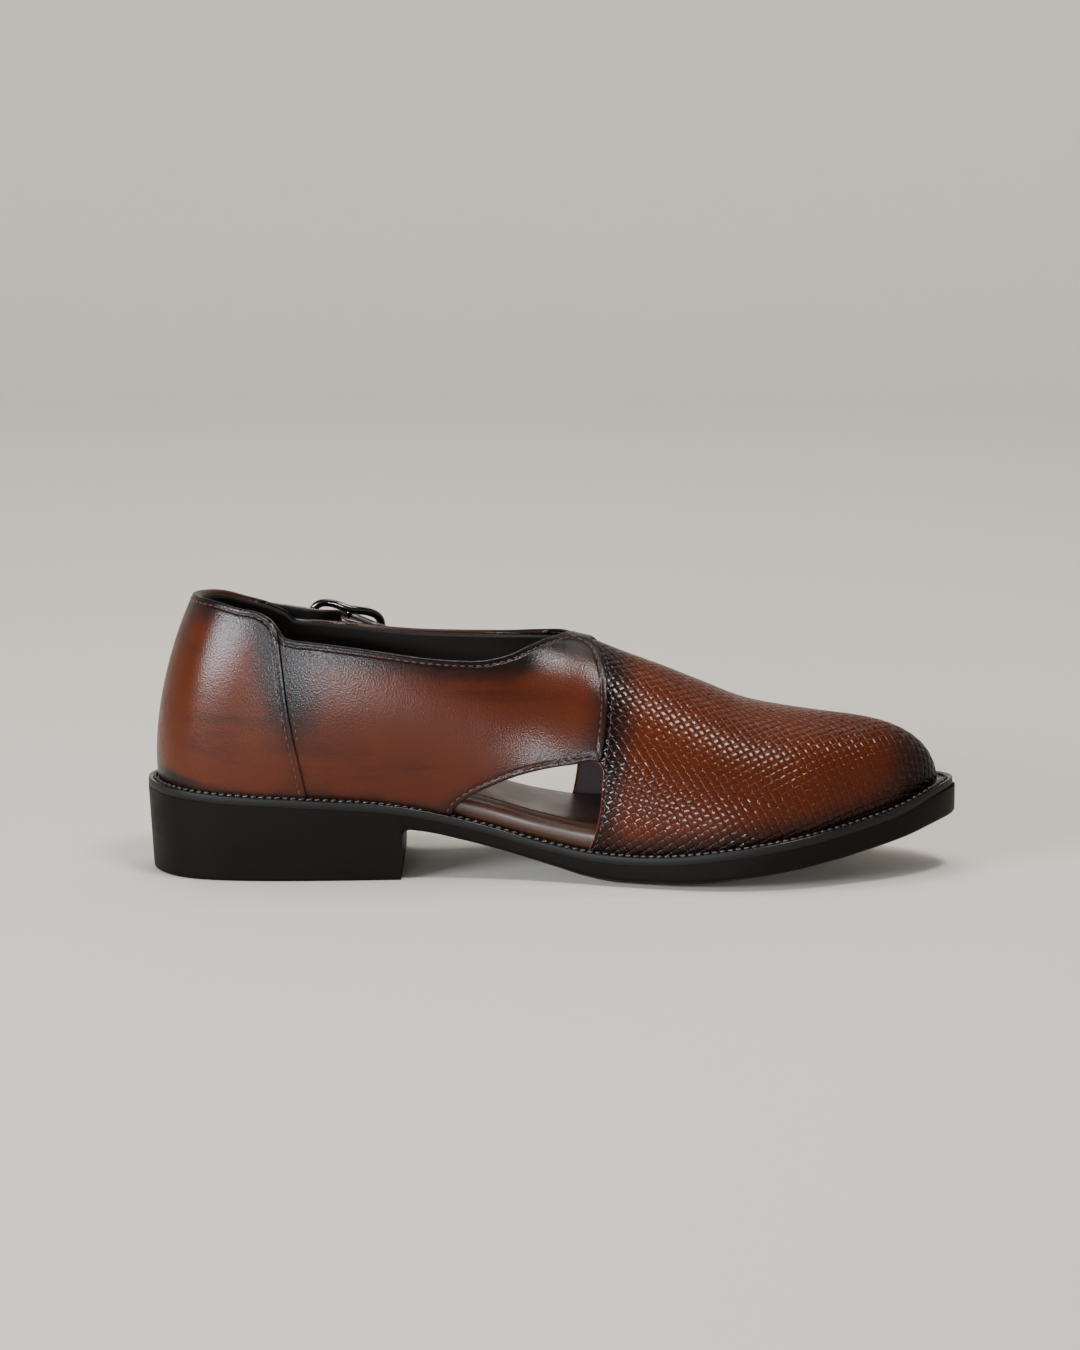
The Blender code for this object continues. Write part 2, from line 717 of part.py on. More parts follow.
def make_sole(sides):
    """The moulded sole with its heel block. A raised middle fills the ring of the welt."""
    xs = stations(STATIONS, (HEEL_LENGTH - 0.0002, HEEL_LENGTH + 0.0004, HEEL_LENGTH + 0.0030))

    def ring(inset, taper, rise):
        heel_only = lambda x: inset + taper * np.where(x <= HEEL_LENGTH + 0.0030, HEEL_TAPER, 0.0)
        loop = edge_loop(inset_loop(sides, heel_only), xs)
        return ring_at(loop, rise(loop[:, 0]))

    rings = [
        ring(9 * SOLE_EDGE_BEVEL, 1, underside),
        ring(3.2 * SOLE_EDGE_BEVEL, 1, lambda x: underside(x) + 0.45 * crown(x)),
        ring(SOLE_EDGE_BEVEL, 1, lambda x: underside(x) + crown(x)),
        ring(0.0, 0.95, lambda x: underside(x) + crown(x) + SOLE_EDGE_BEVEL),
        ring(0.0, 0, lambda x: welt_top(x) - WELT_THICKNESS - GAP),
        ring(WELT_WIDTH + GAP, 0, lambda x: welt_top(x) - WELT_THICKNESS - GAP),
        ring(WELT_WIDTH + GAP, 0, welt_top),
    ]
    return slab("sole", rings, 4, BLACK_RUBBER)


def welt_setback(x):
    """How far the welt's edge stands in from the sole's. It is further at the toe."""
    toe = np.clip((x / SOLE_LENGTH - 0.93) / 0.07, 0, 1)
    return WELT_SETBACK + (TOE_SETBACK - WELT_SETBACK) * toe**2


def make_welt(sides):
    """The flat stitched strip between sole and upper, all the way round."""
    xs = stations(STATIONS)

    def ring(inset, drop):
        loop = edge_loop(inset_loop(sides, lambda x: welt_setback(x) + inset), xs)
        return ring_at(loop, welt_top(loop[:, 0]) - drop)

    rings = [ring(0.0, WELT_THICKNESS), ring(0.0, WELT_EDGE_ROUND), ring(WELT_EDGE_ROUND, 0.0)]
    welt = slab("welt", rings, 3, WELT_BLACK)
    hole = edge_loop(inset_loop(sides, WELT_WIDTH), xs)
    height = welt_top(hole[:, 0])
    cutter = slab("welt_hole", [ring_at(hole, height - 0.02), ring_at(hole, height + 0.02)], 3)
    return combine(welt, "DIFFERENCE", cutter)


def make_footbed(sides):
    """The wrapped footbed. Its round edge shows in the cut-outs."""
    xs = stations(STATIONS)

    def ring(inset, rise):
        toe = lambda x: np.clip((x / SOLE_LENGTH - 0.85) / 0.1, 0, 1) * FOOTBED_TOE_EASE
        edge = lambda x: margin(x) + 2 * GAP + inset * FOOTBED_ROUND + toe(x)
        loop = edge_loop(inset_loop(sides, edge), xs)
        return ring_at(loop, welt_top(loop[:, 0]) + GAP + rise)

    rings = [
        ring(0.0, 0.0),
        ring(0.0, FOOTBED_RISE - FOOTBED_ROUND),
        ring(0.3, FOOTBED_RISE - 0.3 * FOOTBED_ROUND),
        ring(1.0, FOOTBED_RISE),
    ]
    return slab("footbed", rings, 4, LINING_BROWN)


def collar_cutter():
    """All that lies above the collar, with its own line on each side of the middle."""
    xs = np.concatenate([[-0.03], np.linspace(0.0, 0.044, 9), np.linspace(0.0465, 0.0560, 8),
                         np.linspace(0.061, 0.1589, 19)])
    outlines = [
        [*zip(xs, collar_height(table, xs)), (xs[-1], REACH), (xs[0], REACH)]
        for table in (MEDIAL_COLLAR, LATERAL_COLLAR)
    ]
    return side_cutter("collar_opening", *outlines)


def curve_through(rows, per_row):
    """A smooth open line through the rows of (x, z)."""
    rows = np.asarray(rows, float)
    knots = np.concatenate([[0], np.cumsum(np.linalg.norm(np.diff(rows, axis=0), axis=1))])
    at = np.unique(np.concatenate(
        [np.linspace(a, b, per_row + 1) for a, b in zip(knots, knots[1:])]
    ))
    return np.column_stack([smooth(knots, rows[:, 0], at), smooth(knots, rows[:, 1], at)])


def seam_region(name, table, furthest, tall, shift):
    """Everything behind a seam. On the lateral side its lower part is shifted along the shoe."""
    outlines = []
    for moved in (0.0, shift):
        rows = [(x * furthest + moved * np.clip(2.6 - 3 * z, 0, 1), z * tall) for x, z in table]
        seam = curve_through(rows, 2)
        outlines.append([(-0.05, seam[0, 1]), *seam, (-0.05, seam[-1, 1])])
    return side_cutter(name, *outlines)


def window_outline(shift):
    width = WINDOW_FRONT_X - WINDOW_REAR_X
    corners = [(WINDOW_REAR_X + shift + x * width, z * WINDOW_HEIGHT) for x, z in WINDOW]
    return [*curve_through(corners[:-1], 2), corners[-1]]


def make_upper(last):
    """Vamp, quarters and counter as one hollow wall, stepped where a piece lies on another."""
    quarter_wall = VAMP_WALL + QUARTER_STEP
    upper = last.shell("upper", 0.0, VAMP_WALL, TAN_LEATHER)
    layers = (
        ("quarters", quarter_wall, QUARTER_STEP, FRONT_SEAM, FRONT_SEAM_X, THROAT_HEIGHT,
         LATERAL_WINDOW_SHIFT),
        ("counter", quarter_wall + COUNTER_STEP, COUNTER_STEP, COUNTER_SEAM, COUNTER_SEAM_X,
         COUNTER_SHOULDER, 0.0),
    )
    for name, outer, step, *seam in layers:
        layer = last.shell(name + "_layer", outer - step - LAYER_BITE, outer)
        combine(layer, "INTERSECT", seam_region(name + "_region", *seam))
        combine(upper, "UNION", layer)
    combine(upper, "DIFFERENCE", collar_cutter())
    for name, shift, near, far in (
        ("medial_cut_out", 0.0, -REACH, -BLEND),
        ("lateral_cut_out", LATERAL_WINDOW_SHIFT, BLEND, REACH),
    ):
        outline = window_outline(shift)
        combine(upper, "DIFFERENCE", side_cutter(name, outline, outline, near, far))
    along = stations(60)
    height = welt_top(along) + GAP
    outline = [(-0.02, -0.05), (SOLE_LENGTH + 0.02, -0.05), (SOLE_LENGTH + 0.02, height[-1])]
    outline += [*zip(along[::-1], height[::-1]), (-0.02, height[0])]
    return combine(upper, "DIFFERENCE", side_cutter("under_upper", outline, outline))


class StrapPlace:
    """Places along the strap: s forward from the buckle's bar, w up and h out from the quarter."""

    def __init__(self, last):
        self.find = last.side_finder(1, VAMP_WALL + QUARTER_STEP)

    def line(self, x):
        rows = [(at * SOLE_LENGTH, share * BACK_HEIGHT) for at, share in STRAP_LINE]
        return smooth(*zip(*rows), x)

    def at(self, s, w, h):
        x = BUCKLE_X + s
        slope = (self.line(x + 0.001) - self.line(x - 0.001)) / 0.002
        stretch = math.hypot(1, slope)
        point, normal = self.find(x - w * slope / stretch, self.line(x) + w / stretch)
        return point + normal * h


def bar_height():
    """How high the strap's inner face rides where the tab folds round the buckle's bar."""
    return 3 * GAP + 2 * TAB_LAYER + CENTRE_BAR + GAP


def strap_ride(s):
    rows = [(at * BUCKLE_LENGTH, share * bar_height()) for at, share in STRAP_RIDE]
    return float(smooth(*zip(*rows), s))


def rail_ride(s):
    rows = [(at * BUCKLE_LENGTH / 2, share * bar_height()) for at, share in RAIL_RIDE]
    return float(smooth(*zip(*rows), s))


def band(name, place, rows, columns, look=None):
    """A strip along the strap. Each row is its place, half width, and inner and outer height."""
    points = []
    for s, half, low, high in rows:
        ways = np.linspace(-1, 1, columns + 1)
        points += [place.at(s, w * half, low) for w in ways]
        points += [place.at(s, w * half, high) for w in ways[::-1]]
    count = 2 * (columns + 1)
    faces = []
    for r in range(len(rows) - 1):
        base, top = r * count, (r + 1) * count
        faces += [(base + k, top + k, top + (k + 1) % count, base + (k + 1) % count) for k in range(count)]
    for r in (0, len(rows) - 1):
        for k in range(columns):
            base = r * count
            faces.append((base + k, base + k + 1, base + count - 2 - k, base + count - 1 - k))
    return add_object(name, points, faces, look)


def tube(name, place, path, half_width, half_height, sides, closed, look=None):
    """A bar along a path of (s, w, h), flat or round, closed on itself or with two ends."""
    path = np.asarray(path, float)
    count = len(path)
    points = []
    for k in range(count):
        before = path[(k - 1) % count] if closed or k else path[k]
        after = path[(k + 1) % count] if closed or k < count - 1 else path[k]
        along = (after - before)[:2]
        if np.linalg.norm(along) < 1e-9:
            along = np.array([1.0, 0.0])
        beside = np.array([-along[1], along[0]]) / np.linalg.norm(along)
        for j in range(sides):
            angle = 2 * math.pi * (j + 0.5) / sides
            s, w = path[k, :2] + beside * half_width * math.cos(angle)
            points.append(place.at(s, w, path[k, 2] + half_height * math.sin(angle)))
    faces = []
    for k in range(count if closed else count - 1):
        n = (k + 1) % count
        for j in range(sides):
            i = (j + 1) % sides
            faces.append((k * sides + j, n * sides + j, n * sides + i, k * sides + i))
    if not closed:
        faces += [tuple(range(sides)), tuple(range(count * sides - 1, (count - 1) * sides - 1, -1))]
    return add_object(name, points, faces, look)


def make_strap(place, prong_room):
    """The strap from the counter, over the buckle's bar to a rounded tip."""
    half = STRAP_WIDTH / 2
    bend = 0.9 * BUCKLE_LENGTH / 2
    tip_start = STRAP_TIP - 1.3 * half
    along = [
        *np.linspace(STRAP_REAR, -bend, 7)[:-1],
        *np.linspace(-bend, bend, 13),
        *np.linspace(bend, tip_start, 6)[1:],
    ]
    rows = [(s, half, strap_ride(s), strap_ride(s) + STRAP_THICKNESS) for s in along]
    for share in (0.25, 0.50, 0.70, 0.85, 0.95, 1.0):
        s = tip_start + share * (STRAP_TIP - tip_start)
        round_half = half * max(math.sqrt(max(1 - share**2, 0)), 0.12)
        rows.append((s, round_half, strap_ride(s), strap_ride(s) + STRAP_THICKNESS))
    strap = band("strap", place, rows, 4, STRAP_LEATHER)
    return combine(strap, "DIFFERENCE", prong_room)


def make_buckle_tab(place):
    """The short tab that folds round the buckle's bar and is sewn to the quarter."""
    bar = GAP + TAB_LAYER + GAP + CENTRE_BAR / 2
    top = bar_height() - GAP
    eye = top / 2
    half = TAB_WIDTH / 2
    rows = []
    for angle in (170, 150, 125, 100, 80):
        reach = math.radians(angle)
        rise = (top - GAP) / 2 * math.sin(reach)
        rows.append((eye * math.cos(reach), half, eye + GAP / 2 - rise, eye + GAP / 2 + rise))
    flat = GAP + 1.8 * TAB_LAYER
    rows += [(0.0030, half, GAP, 0.78 * top), (0.0055, half, GAP, 0.58 * top)]
    rows += [(0.0085, half, GAP, flat)]
    rows += [(TAB_FRONT - 0.0025, half, GAP, flat), (TAB_FRONT, 0.72 * half, GAP, flat)]
    tab = band("buckle_tab", place, rows, 4, TAB_LEATHER)
    reach = TAB_WIDTH / 2 + 0.002
    room = tube("bar_room", place, [(0, w, bar) for w in np.linspace(-reach, reach, 9)],
                CENTRE_BAR / 2 + GAP, CENTRE_BAR / 2 + GAP, 12, False)
    slot_rows = [(s, PRONG / 2 + 2 * GAP, -0.001, 0.009) for s in (-0.006, 0.0025)]
    slot = band("prong_slot", place, slot_rows, 1)
    combine(tab, "DIFFERENCE", room)
    return combine(tab, "DIFFERENCE", slot)


def make_buckle_frame(place):
    """Two rounded lobes with a waist between them, and a round bar across the waist."""
    long = (BUCKLE_LENGTH - BUCKLE_RAIL) / 2
    tall = (BUCKLE_HEIGHT - BUCKLE_RAIL) / 2
    path = []
    for k in range(36):
        angle = 2 * math.pi * k / 36
        c, n = math.cos(angle), math.sin(angle)
        s = long * math.copysign(abs(c) ** 0.55, c)
        w = tall * math.copysign(abs(n) ** 0.45, n)
        w *= 1 - BUCKLE_WAIST / tall * math.exp(-((s / (0.35 * long)) ** 2))
        path.append((s, w, rail_ride(s)))
    rail = (BUCKLE_RAIL / 2, BUCKLE_THICKNESS / 2)
    frame = tube("buckle_frame", place, path, *rail, 10, True, FRAME_METAL)
    bar = GAP + TAB_LAYER + GAP + CENTRE_BAR / 2
    reach = tall - BUCKLE_WAIST
    middle = [(0, w, bar) for w in (-reach, -reach / 2, 0, reach / 2, reach)]
    centre = tube("centre_bar", place, middle, CENTRE_BAR / 2, CENTRE_BAR / 2, 10, False)
    return combine(frame, "UNION", centre)


def prong_path():
    """From its eye on the bar, through the strap and back to rest on the frame's rear end."""
    bar = GAP + TAB_LAYER + GAP + CENTRE_BAR / 2
    out = CENTRE_BAR / 2 + GAP + PRONG / 2
    end = rail_ride(-BUCKLE_LENGTH / 2) + BUCKLE_THICKNESS / 2 + PRONG / 2 + GAP
    over = bar_height() + STRAP_THICKNESS + PRONG / 2 + GAP
    return [
        (-out, 0, bar + 0.0002),
        (-out - 0.0003, 0, bar + 0.0018),
        (-out - 0.0010, 0, over - 0.0016),
        (-out - 0.0020, 0, over - 0.0004),
        (-out - 0.0038, 0, over),
        (-0.0090, 0, 0.5 * (over + end)),
        (-0.0118, 0, end + 0.0001),
        (-BUCKLE_LENGTH / 2 - 0.0002, 0, end),
    ]


def make_prong(place):
    """The prong. What it returns is the room that it needs in the strap."""
    upright_tube("buckle_prong", place, prong_path(), PRONG / 2, PRONG_METAL)
    return upright_tube("prong_room", place, prong_path(), PRONG / 2 + GAP)


def upright_tube(name, place, path, radius, look=None):
    """A round rod whose path lies in the plane of s and h, with a ring at its foot."""
    path = np.asarray(path, float)
    points = []
    sides = 10
    for k in range(len(path)):
        along = path[min(k + 1, len(path) - 1)] - path[max(k - 1, 0)]
        along /= np.linalg.norm(along)
        beside = np.array([-along[2], 0.0, along[0]])
        for j in range(sides):
            angle = 2 * math.pi * j / sides
            turn = beside * math.cos(angle) + np.array([0, math.sin(angle), 0])
            points.append(place.at(*(path[k] + radius * turn)))
    last = (len(path) - 1) * sides
    faces = [tuple(range(sides)), tuple(range(last + sides - 1, last - 1, -1))]
    for base in range(0, last, sides):
        top = base + sides
        faces += [(base + j, top + j, top + (j + 1) % sides, base + (j + 1) % sides) for j in range(sides)]
    return add_object(name, points, faces, look)


def main():
    clear_scene()
    sides = dense_outline()
    last = Last(sides)
    make_sole(sides)
    make_welt(sides)
    make_footbed(sides)
    make_upper(last)
    place = StrapPlace(last)
    make_strap(place, make_prong(place))
    make_buckle_tab(place)
    make_buckle_frame(place)


main()
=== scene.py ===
# %% [markdown]
# A peshawari chappal is a Pakistani dress shoe. This one is for the left foot. Its closed toe is
# embossed in a basket weave, plain quarters run back to a heel counter, and each side is cut out
# at the waist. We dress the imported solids: every panel of leather is laid on the same last again,
# this time fine enough to show its folded edges, its weave and its stitches.

import math

import bpy
import numpy as np
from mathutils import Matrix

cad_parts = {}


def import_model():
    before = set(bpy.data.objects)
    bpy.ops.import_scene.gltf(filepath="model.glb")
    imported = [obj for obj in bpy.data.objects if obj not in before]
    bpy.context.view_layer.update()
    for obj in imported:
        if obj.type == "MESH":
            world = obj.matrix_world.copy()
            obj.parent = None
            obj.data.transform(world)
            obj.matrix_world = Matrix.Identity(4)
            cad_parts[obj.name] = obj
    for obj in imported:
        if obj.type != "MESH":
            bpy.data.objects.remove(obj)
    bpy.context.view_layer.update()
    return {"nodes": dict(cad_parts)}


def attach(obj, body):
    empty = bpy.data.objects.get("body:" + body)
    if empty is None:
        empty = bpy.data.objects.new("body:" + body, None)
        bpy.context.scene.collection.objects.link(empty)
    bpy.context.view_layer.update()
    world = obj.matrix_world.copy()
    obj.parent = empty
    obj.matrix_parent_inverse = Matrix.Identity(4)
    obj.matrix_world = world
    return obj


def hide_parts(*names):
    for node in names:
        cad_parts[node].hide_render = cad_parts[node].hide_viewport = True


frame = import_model()
print("solids from the part:", ", ".join(sorted(frame["nodes"])))

# %% [markdown]
# The sizes come from the part's own source. They are in metres and count from the back of the sole,
# so every point is moved back by half a heel at the end.

# %% Sizes
SOLE_LENGTH = 0.2970
BALL_WIDTH = 0.102
WAIST_WIDTH = 0.068
HEEL_WIDTH = 0.068
HEEL_SEAT_HEIGHT = 0.034
HEEL_LENGTH = 0.094
ARCH_HEIGHT = 0.0186
TOE_SPRING = 0.0225
WAIST_THICKNESS = 0.0085
FOREFOOT_THICKNESS = 0.0115
BALL_CROWN = 0.0024
SOLE_EDGE_BEVEL = 0.0013
HEEL_TAPER = 0.0018
WELT_THICKNESS = 0.0030
TOE_MARGIN = 0.0086
SIDE_MARGIN = 0.0070
WAIST_MARGIN = 0.0052
HEEL_MARGIN = 0.0080
BACK_HEIGHT = 0.1020
THROAT_HEIGHT = 0.0886
CONE_HEIGHT = 0.1340
TOE_BOX_HEIGHT = 0.0550
COLLAR_DIP = 0.0802
LATERAL_COLLAR_DIP = 0.0838
COUNTER_TOP = 0.0972
COUNTER_SHOULDER = 0.0885
COUNTER_SEAM_X = 0.0500
FRONT_SEAM_X = 0.1688
WINDOW_REAR_X = 0.1130
WINDOW_FRONT_X = 0.1660
WINDOW_HEIGHT = 0.0440
LATERAL_WINDOW_SHIFT = -0.0080
FOOTBED_RISE = 0.0078
FOOTBED_TOE_EASE = 0.0018

STRAP_WIDTH = 0.0160
STRAP_THICKNESS = 0.0018
STRAP_REAR = -0.0350
STRAP_TIP = 0.0400
TAB_WIDTH = 0.0140
TAB_FRONT = 0.0205
TAB_LAYER = 0.0010
BUCKLE_X = 0.0704
BUCKLE_LENGTH = 0.0272
BUCKLE_HEIGHT = 0.0244
BUCKLE_RAIL = 0.0028
BUCKLE_WAIST = 0.0007
CENTRE_BAR = 0.0018

print("sole %.0f x %.0f mm, back %.0f mm high" % (SOLE_LENGTH * 1e3, BALL_WIDTH * 1e3, BACK_HEIGHT * 1e3))

# %% [markdown]
# The outlines are tables. Most rows give a place along the shoe as a share of its length, a named
# size and a share of that size. So one size moves every row that hangs on it.

# %% Tables
SOLE_OUTLINE = (
    (0.000, HEEL_WIDTH, 0.000, 0.000),
    (0.018, HEEL_WIDTH, 0.262, 0.262),
    (0.060, HEEL_WIDTH, 0.424, 0.430),
    (0.134, HEEL_WIDTH, 0.488, 0.503),
    (0.236, HEEL_WIDTH, 0.482, 0.522),
    (0.337, WAIST_WIDTH, 0.449, 0.537),
    (0.438, WAIST_WIDTH, 0.440, 0.566),
    (0.522, BALL_WIDTH, 0.345, 0.418),
    (0.606, BALL_WIDTH, 0.430, 0.480),
    (0.684, BALL_WIDTH, 0.483, 0.508),
    (0.747, BALL_WIDTH, 0.490, 0.490),
    (0.818, BALL_WIDTH, 0.445, 0.438),
    (0.876, BALL_WIDTH, 0.368, 0.360),
    (0.930, BALL_WIDTH, 0.282, 0.270),
    (0.965, BALL_WIDTH, 0.202, 0.184),
    (0.986, BALL_WIDTH, 0.132, 0.106),
    (1.000, BALL_WIDTH, 0.022, -0.022),
)
HEEL_SEAT = ((0.000, 1.000), (0.100, 0.932), (0.201, 0.886), (0.302, 0.820))
FOREPART = (
    (0.320, ARCH_HEIGHT, 1.000, WAIST_THICKNESS, 1.000),
    (0.347, ARCH_HEIGHT, 0.935, WAIST_THICKNESS, 0.970),
    (0.394, ARCH_HEIGHT, 0.750, WAIST_THICKNESS, 0.980),
    (0.432, ARCH_HEIGHT, 0.580, WAIST_THICKNESS, 1.000),
    (0.472, ARCH_HEIGHT, 0.385, WAIST_THICKNESS, 1.030),
    (0.508, ARCH_HEIGHT, 0.215, WAIST_THICKNESS, 1.130),
    (0.542, ARCH_HEIGHT, 0.070, FOREFOOT_THICKNESS, 0.920),
    (0.572, TOE_SPRING, 0.000, FOREFOOT_THICKNESS, 0.985),
    (0.642, TOE_SPRING, 0.000, FOREFOOT_THICKNESS, 1.030),
    (0.688, TOE_SPRING, 0.055, FOREFOOT_THICKNESS, 1.070),
    (0.737, TOE_SPRING, 0.195, FOREFOOT_THICKNESS, 0.985),
    (0.798, TOE_SPRING, 0.375, FOREFOOT_THICKNESS, 0.895),
    (0.875, TOE_SPRING, 0.590, FOREFOOT_THICKNESS, 0.870),
    (0.933, TOE_SPRING, 0.775, FOREFOOT_THICKNESS, 0.880),
    (0.980, TOE_SPRING, 0.955, FOREFOOT_THICKNESS, 0.880),
    (1.000, TOE_SPRING, 1.000, FOREFOOT_THICKNESS, 0.870),
)
CROWN = (
    (0.316, 0.10), (0.432, 0.40), (0.522, 0.85), (0.602, 1.00), (0.702, 1.00), (0.803, 0.45),
    (1.000, 0.15),
)
RIDGE = (
    (0.199, CONE_HEIGHT, 1.015),
    (0.269, CONE_HEIGHT, 0.960),
    (0.338, CONE_HEIGHT, 0.872),
    (0.418, CONE_HEIGHT, 0.760),
    (0.473, THROAT_HEIGHT, 1.004),
    (0.516, THROAT_HEIGHT, 0.952),
    (0.547, THROAT_HEIGHT, 0.928),
    (0.585, THROAT_HEIGHT, 0.880),
    (0.634, THROAT_HEIGHT, 0.820),
    (0.684, THROAT_HEIGHT, 0.753),
    (0.733, TOE_BOX_HEIGHT, 1.108),
    (0.783, TOE_BOX_HEIGHT, 1.052),
    (0.833, TOE_BOX_HEIGHT, 1.017),
    (0.866, TOE_BOX_HEIGHT, 0.999),
)
FULLNESS = (
    (0.000, 0.222, 0.360, 0.040, 0.600, 0.040, 0.600),
    (0.060, 0.231, 0.380, 0.055, 0.640, 0.055, 0.640),
    (0.134, 0.251, 0.410, 0.090, 0.740, 0.080, 0.740),
    (0.236, 0.295, 0.420, 0.130, 0.850, 0.105, 0.830),
    (0.337, 0.354, 0.430, 0.135, 0.850, 0.090, 0.820),
    (0.438, 0.444, 0.450, 0.130, 0.740, 0.080, 0.720),
    (0.522, 0.524, 0.480, 0.110, 0.620, 0.070, 0.620),
    (0.606, 0.606, 0.470, 0.090, 0.560, 0.070, 0.580),
    (0.684, 0.680, 0.460, 0.070, 0.570, 0.070, 0.610),
    (0.747, 0.734, 0.480, 0.060, 0.610, 0.070, 0.650),
    (0.818, 0.784, 0.530, 0.050, 0.620, 0.060, 0.640),
    (0.876, 0.822, 0.570, 0.030, 0.600, 0.040, 0.610),
    (0.930, 0.848, 0.630, 0.005, 0.580, 0.010, 0.580),
    (1.000, 0.866, 0.650, -0.010, 0.560, -0.010, 0.560),
)
MARGIN = (
    (0.000, HEEL_MARGIN, 1.00),
    (0.149, HEEL_MARGIN, 0.92),
    (0.398, WAIST_MARGIN, 1.00),
    (0.522, WAIST_MARGIN, 1.10),
    (0.702, SIDE_MARGIN, 1.00),
    (0.876, SIDE_MARGIN, 1.03),
    (1.000, TOE_MARGIN, 1.00),
)
MEDIAL_COLLAR = (
    (-0.099, BACK_HEIGHT, 0.998),
    (0.060, BACK_HEIGHT, 0.994),
    (0.090, BACK_HEIGHT, 0.989),
    (0.120, BACK_HEIGHT, 0.970),
    (0.148, COUNTER_TOP, 1.001),
    (0.161, COUNTER_TOP, 0.976),
    (0.168, COUNTER_SHOULDER, 1.042),
    (0.174, COUNTER_SHOULDER, 1.010),
    (0.183, COUNTER_SHOULDER, 0.998),
    (0.205, COUNTER_SHOULDER, 0.990),
    (0.244, COUNTER_SHOULDER, 0.974),
    (0.293, COLLAR_DIP, 1.049),
    (0.340, COLLAR_DIP, 1.021),
    (0.383, COLLAR_DIP, 1.004),
    (0.419, COLLAR_DIP, 1.001),
    (0.450, COLLAR_DIP, 1.022),
    (0.474, THROAT_HEIGHT, 0.955),
    (0.497, THROAT_HEIGHT, 0.980),
    (0.516, THROAT_HEIGHT, 0.990),
    (0.537, THROAT_HEIGHT, 1.000),
)
LATERAL_COLLAR = (
    (-0.099, BACK_HEIGHT, 0.998),
    (0.060, BACK_HEIGHT, 0.992),
    (0.090, BACK_HEIGHT, 0.977),
    (0.120, BACK_HEIGHT, 0.947),
    (0.148, COUNTER_TOP, 0.964),
    (0.161, COUNTER_TOP, 0.944),
    (0.168, COUNTER_SHOULDER, 1.024),
    (0.174, COUNTER_SHOULDER, 1.000),
    (0.183, COUNTER_SHOULDER, 0.992),
    (0.205, COUNTER_SHOULDER, 0.986),
    (0.244, COUNTER_SHOULDER, 0.973),
    (0.293, LATERAL_COLLAR_DIP, 1.008),
    (0.340, LATERAL_COLLAR_DIP, 0.998),
    (0.383, LATERAL_COLLAR_DIP, 0.998),
    (0.419, LATERAL_COLLAR_DIP, 1.002),
    (0.450, LATERAL_COLLAR_DIP, 1.010),
    (0.474, THROAT_HEIGHT, 0.968),
    (0.497, THROAT_HEIGHT, 0.980),
    (0.516, THROAT_HEIGHT, 0.990),
    (0.537, THROAT_HEIGHT, 1.000),
)
FRONT_SEAM = (
    (0.880, 1.400), (0.905, 1.080), (0.932, 0.996), (0.962, 0.972), (0.984, 0.925),
    (0.996, 0.855), (1.000, 0.760), (0.997, 0.665), (0.991, 0.575), (0.984, 0.512),
    (0.950, 0.455), (0.900, 0.380), (0.880, -0.200),
)
COUNTER_SEAM = (
    (0.960, 1.500), (0.985, 1.100), (1.010, 0.990), (1.030, 0.900), (1.055, 0.780),
    (1.095, 0.630), (1.150, 0.480), (1.195, 0.350), (1.240, -0.200),
)
WINDOW = (
    (-0.020, 0.500), (0.000, 0.590), (0.105, 0.700), (0.250, 0.790), (0.420, 0.872),
    (0.600, 0.932), (0.800, 0.977), (0.985, 1.000), (1.012, 0.960), (1.012, 0.830),
    (0.996, 0.600), (0.965, 0.420), (0.915, 0.250), (0.840, 0.000), (0.820, -0.300),
    (-0.040, -0.300),
)

STRAP_LINE = (
    (0.119, 0.847), (0.168, 0.822), (0.202, 0.806), (0.221, 0.796), (0.243, 0.780),
    (0.270, 0.754), (0.303, 0.720), (0.336, 0.687), (0.390, 0.634),
)
STRAP_RIDE = (
    (-1.400, 0.350), (-0.700, 0.350), (-0.400, 0.310), (-0.310, 0.370), (-0.200, 0.640),
    (-0.090, 0.950), (0.000, 1.020), (0.090, 0.980), (0.200, 0.800), (0.320, 0.590),
    (0.450, 0.510), (0.740, 0.500), (0.900, 0.380), (1.100, 0.200), (1.500, 0.080),
)

RAIL_RIDE = (
    (-1.000, 0.960), (-0.750, 0.940), (-0.450, 0.770), (0.000, 0.560), (0.450, 0.860),
    (0.750, 1.130), (1.000, 1.220),
)
print("rows of the sole's outline:", len(SOLE_OUTLINE))

# %% [markdown]
# Every outline is a smooth curve through a short table, as a pattern maker draws one with a
# flexible ruler. A curve object could do the same, but these two functions can be read at any
# place. The first does it for a height along the shoe and the second for a closed outline.

# %% Smooth curves
def smooth(knots, values, at):
    """A cubic curve through the values, with slopes taken from the neighbours of each."""
    knots = np.asarray(knots, float)
    values = np.asarray(values, float)
    at = np.clip(np.asarray(at, float), knots[0], knots[-1])
    steps = np.diff(knots)
    rises = np.diff(values) / steps
    slopes = np.empty(len(knots))
    slopes[1:-1] = (rises[:-1] * steps[1:] + rises[1:] * steps[:-1]) / (steps[:-1] + steps[1:])
    slopes[0] = rises[0]
    slopes[-1] = rises[-1]
    cell = np.clip(np.searchsorted(knots, at, side="right") - 1, 0, len(steps) - 1)
    h = steps[cell]
    t = (at - knots[cell]) / h
    rise = values[cell + 1] - values[cell]
    start = slopes[cell] * h - rise
    end = rise - slopes[cell + 1] * h
    return values[cell] + t * rise + t * (1 - t) * ((1 - t) * start + t * end)


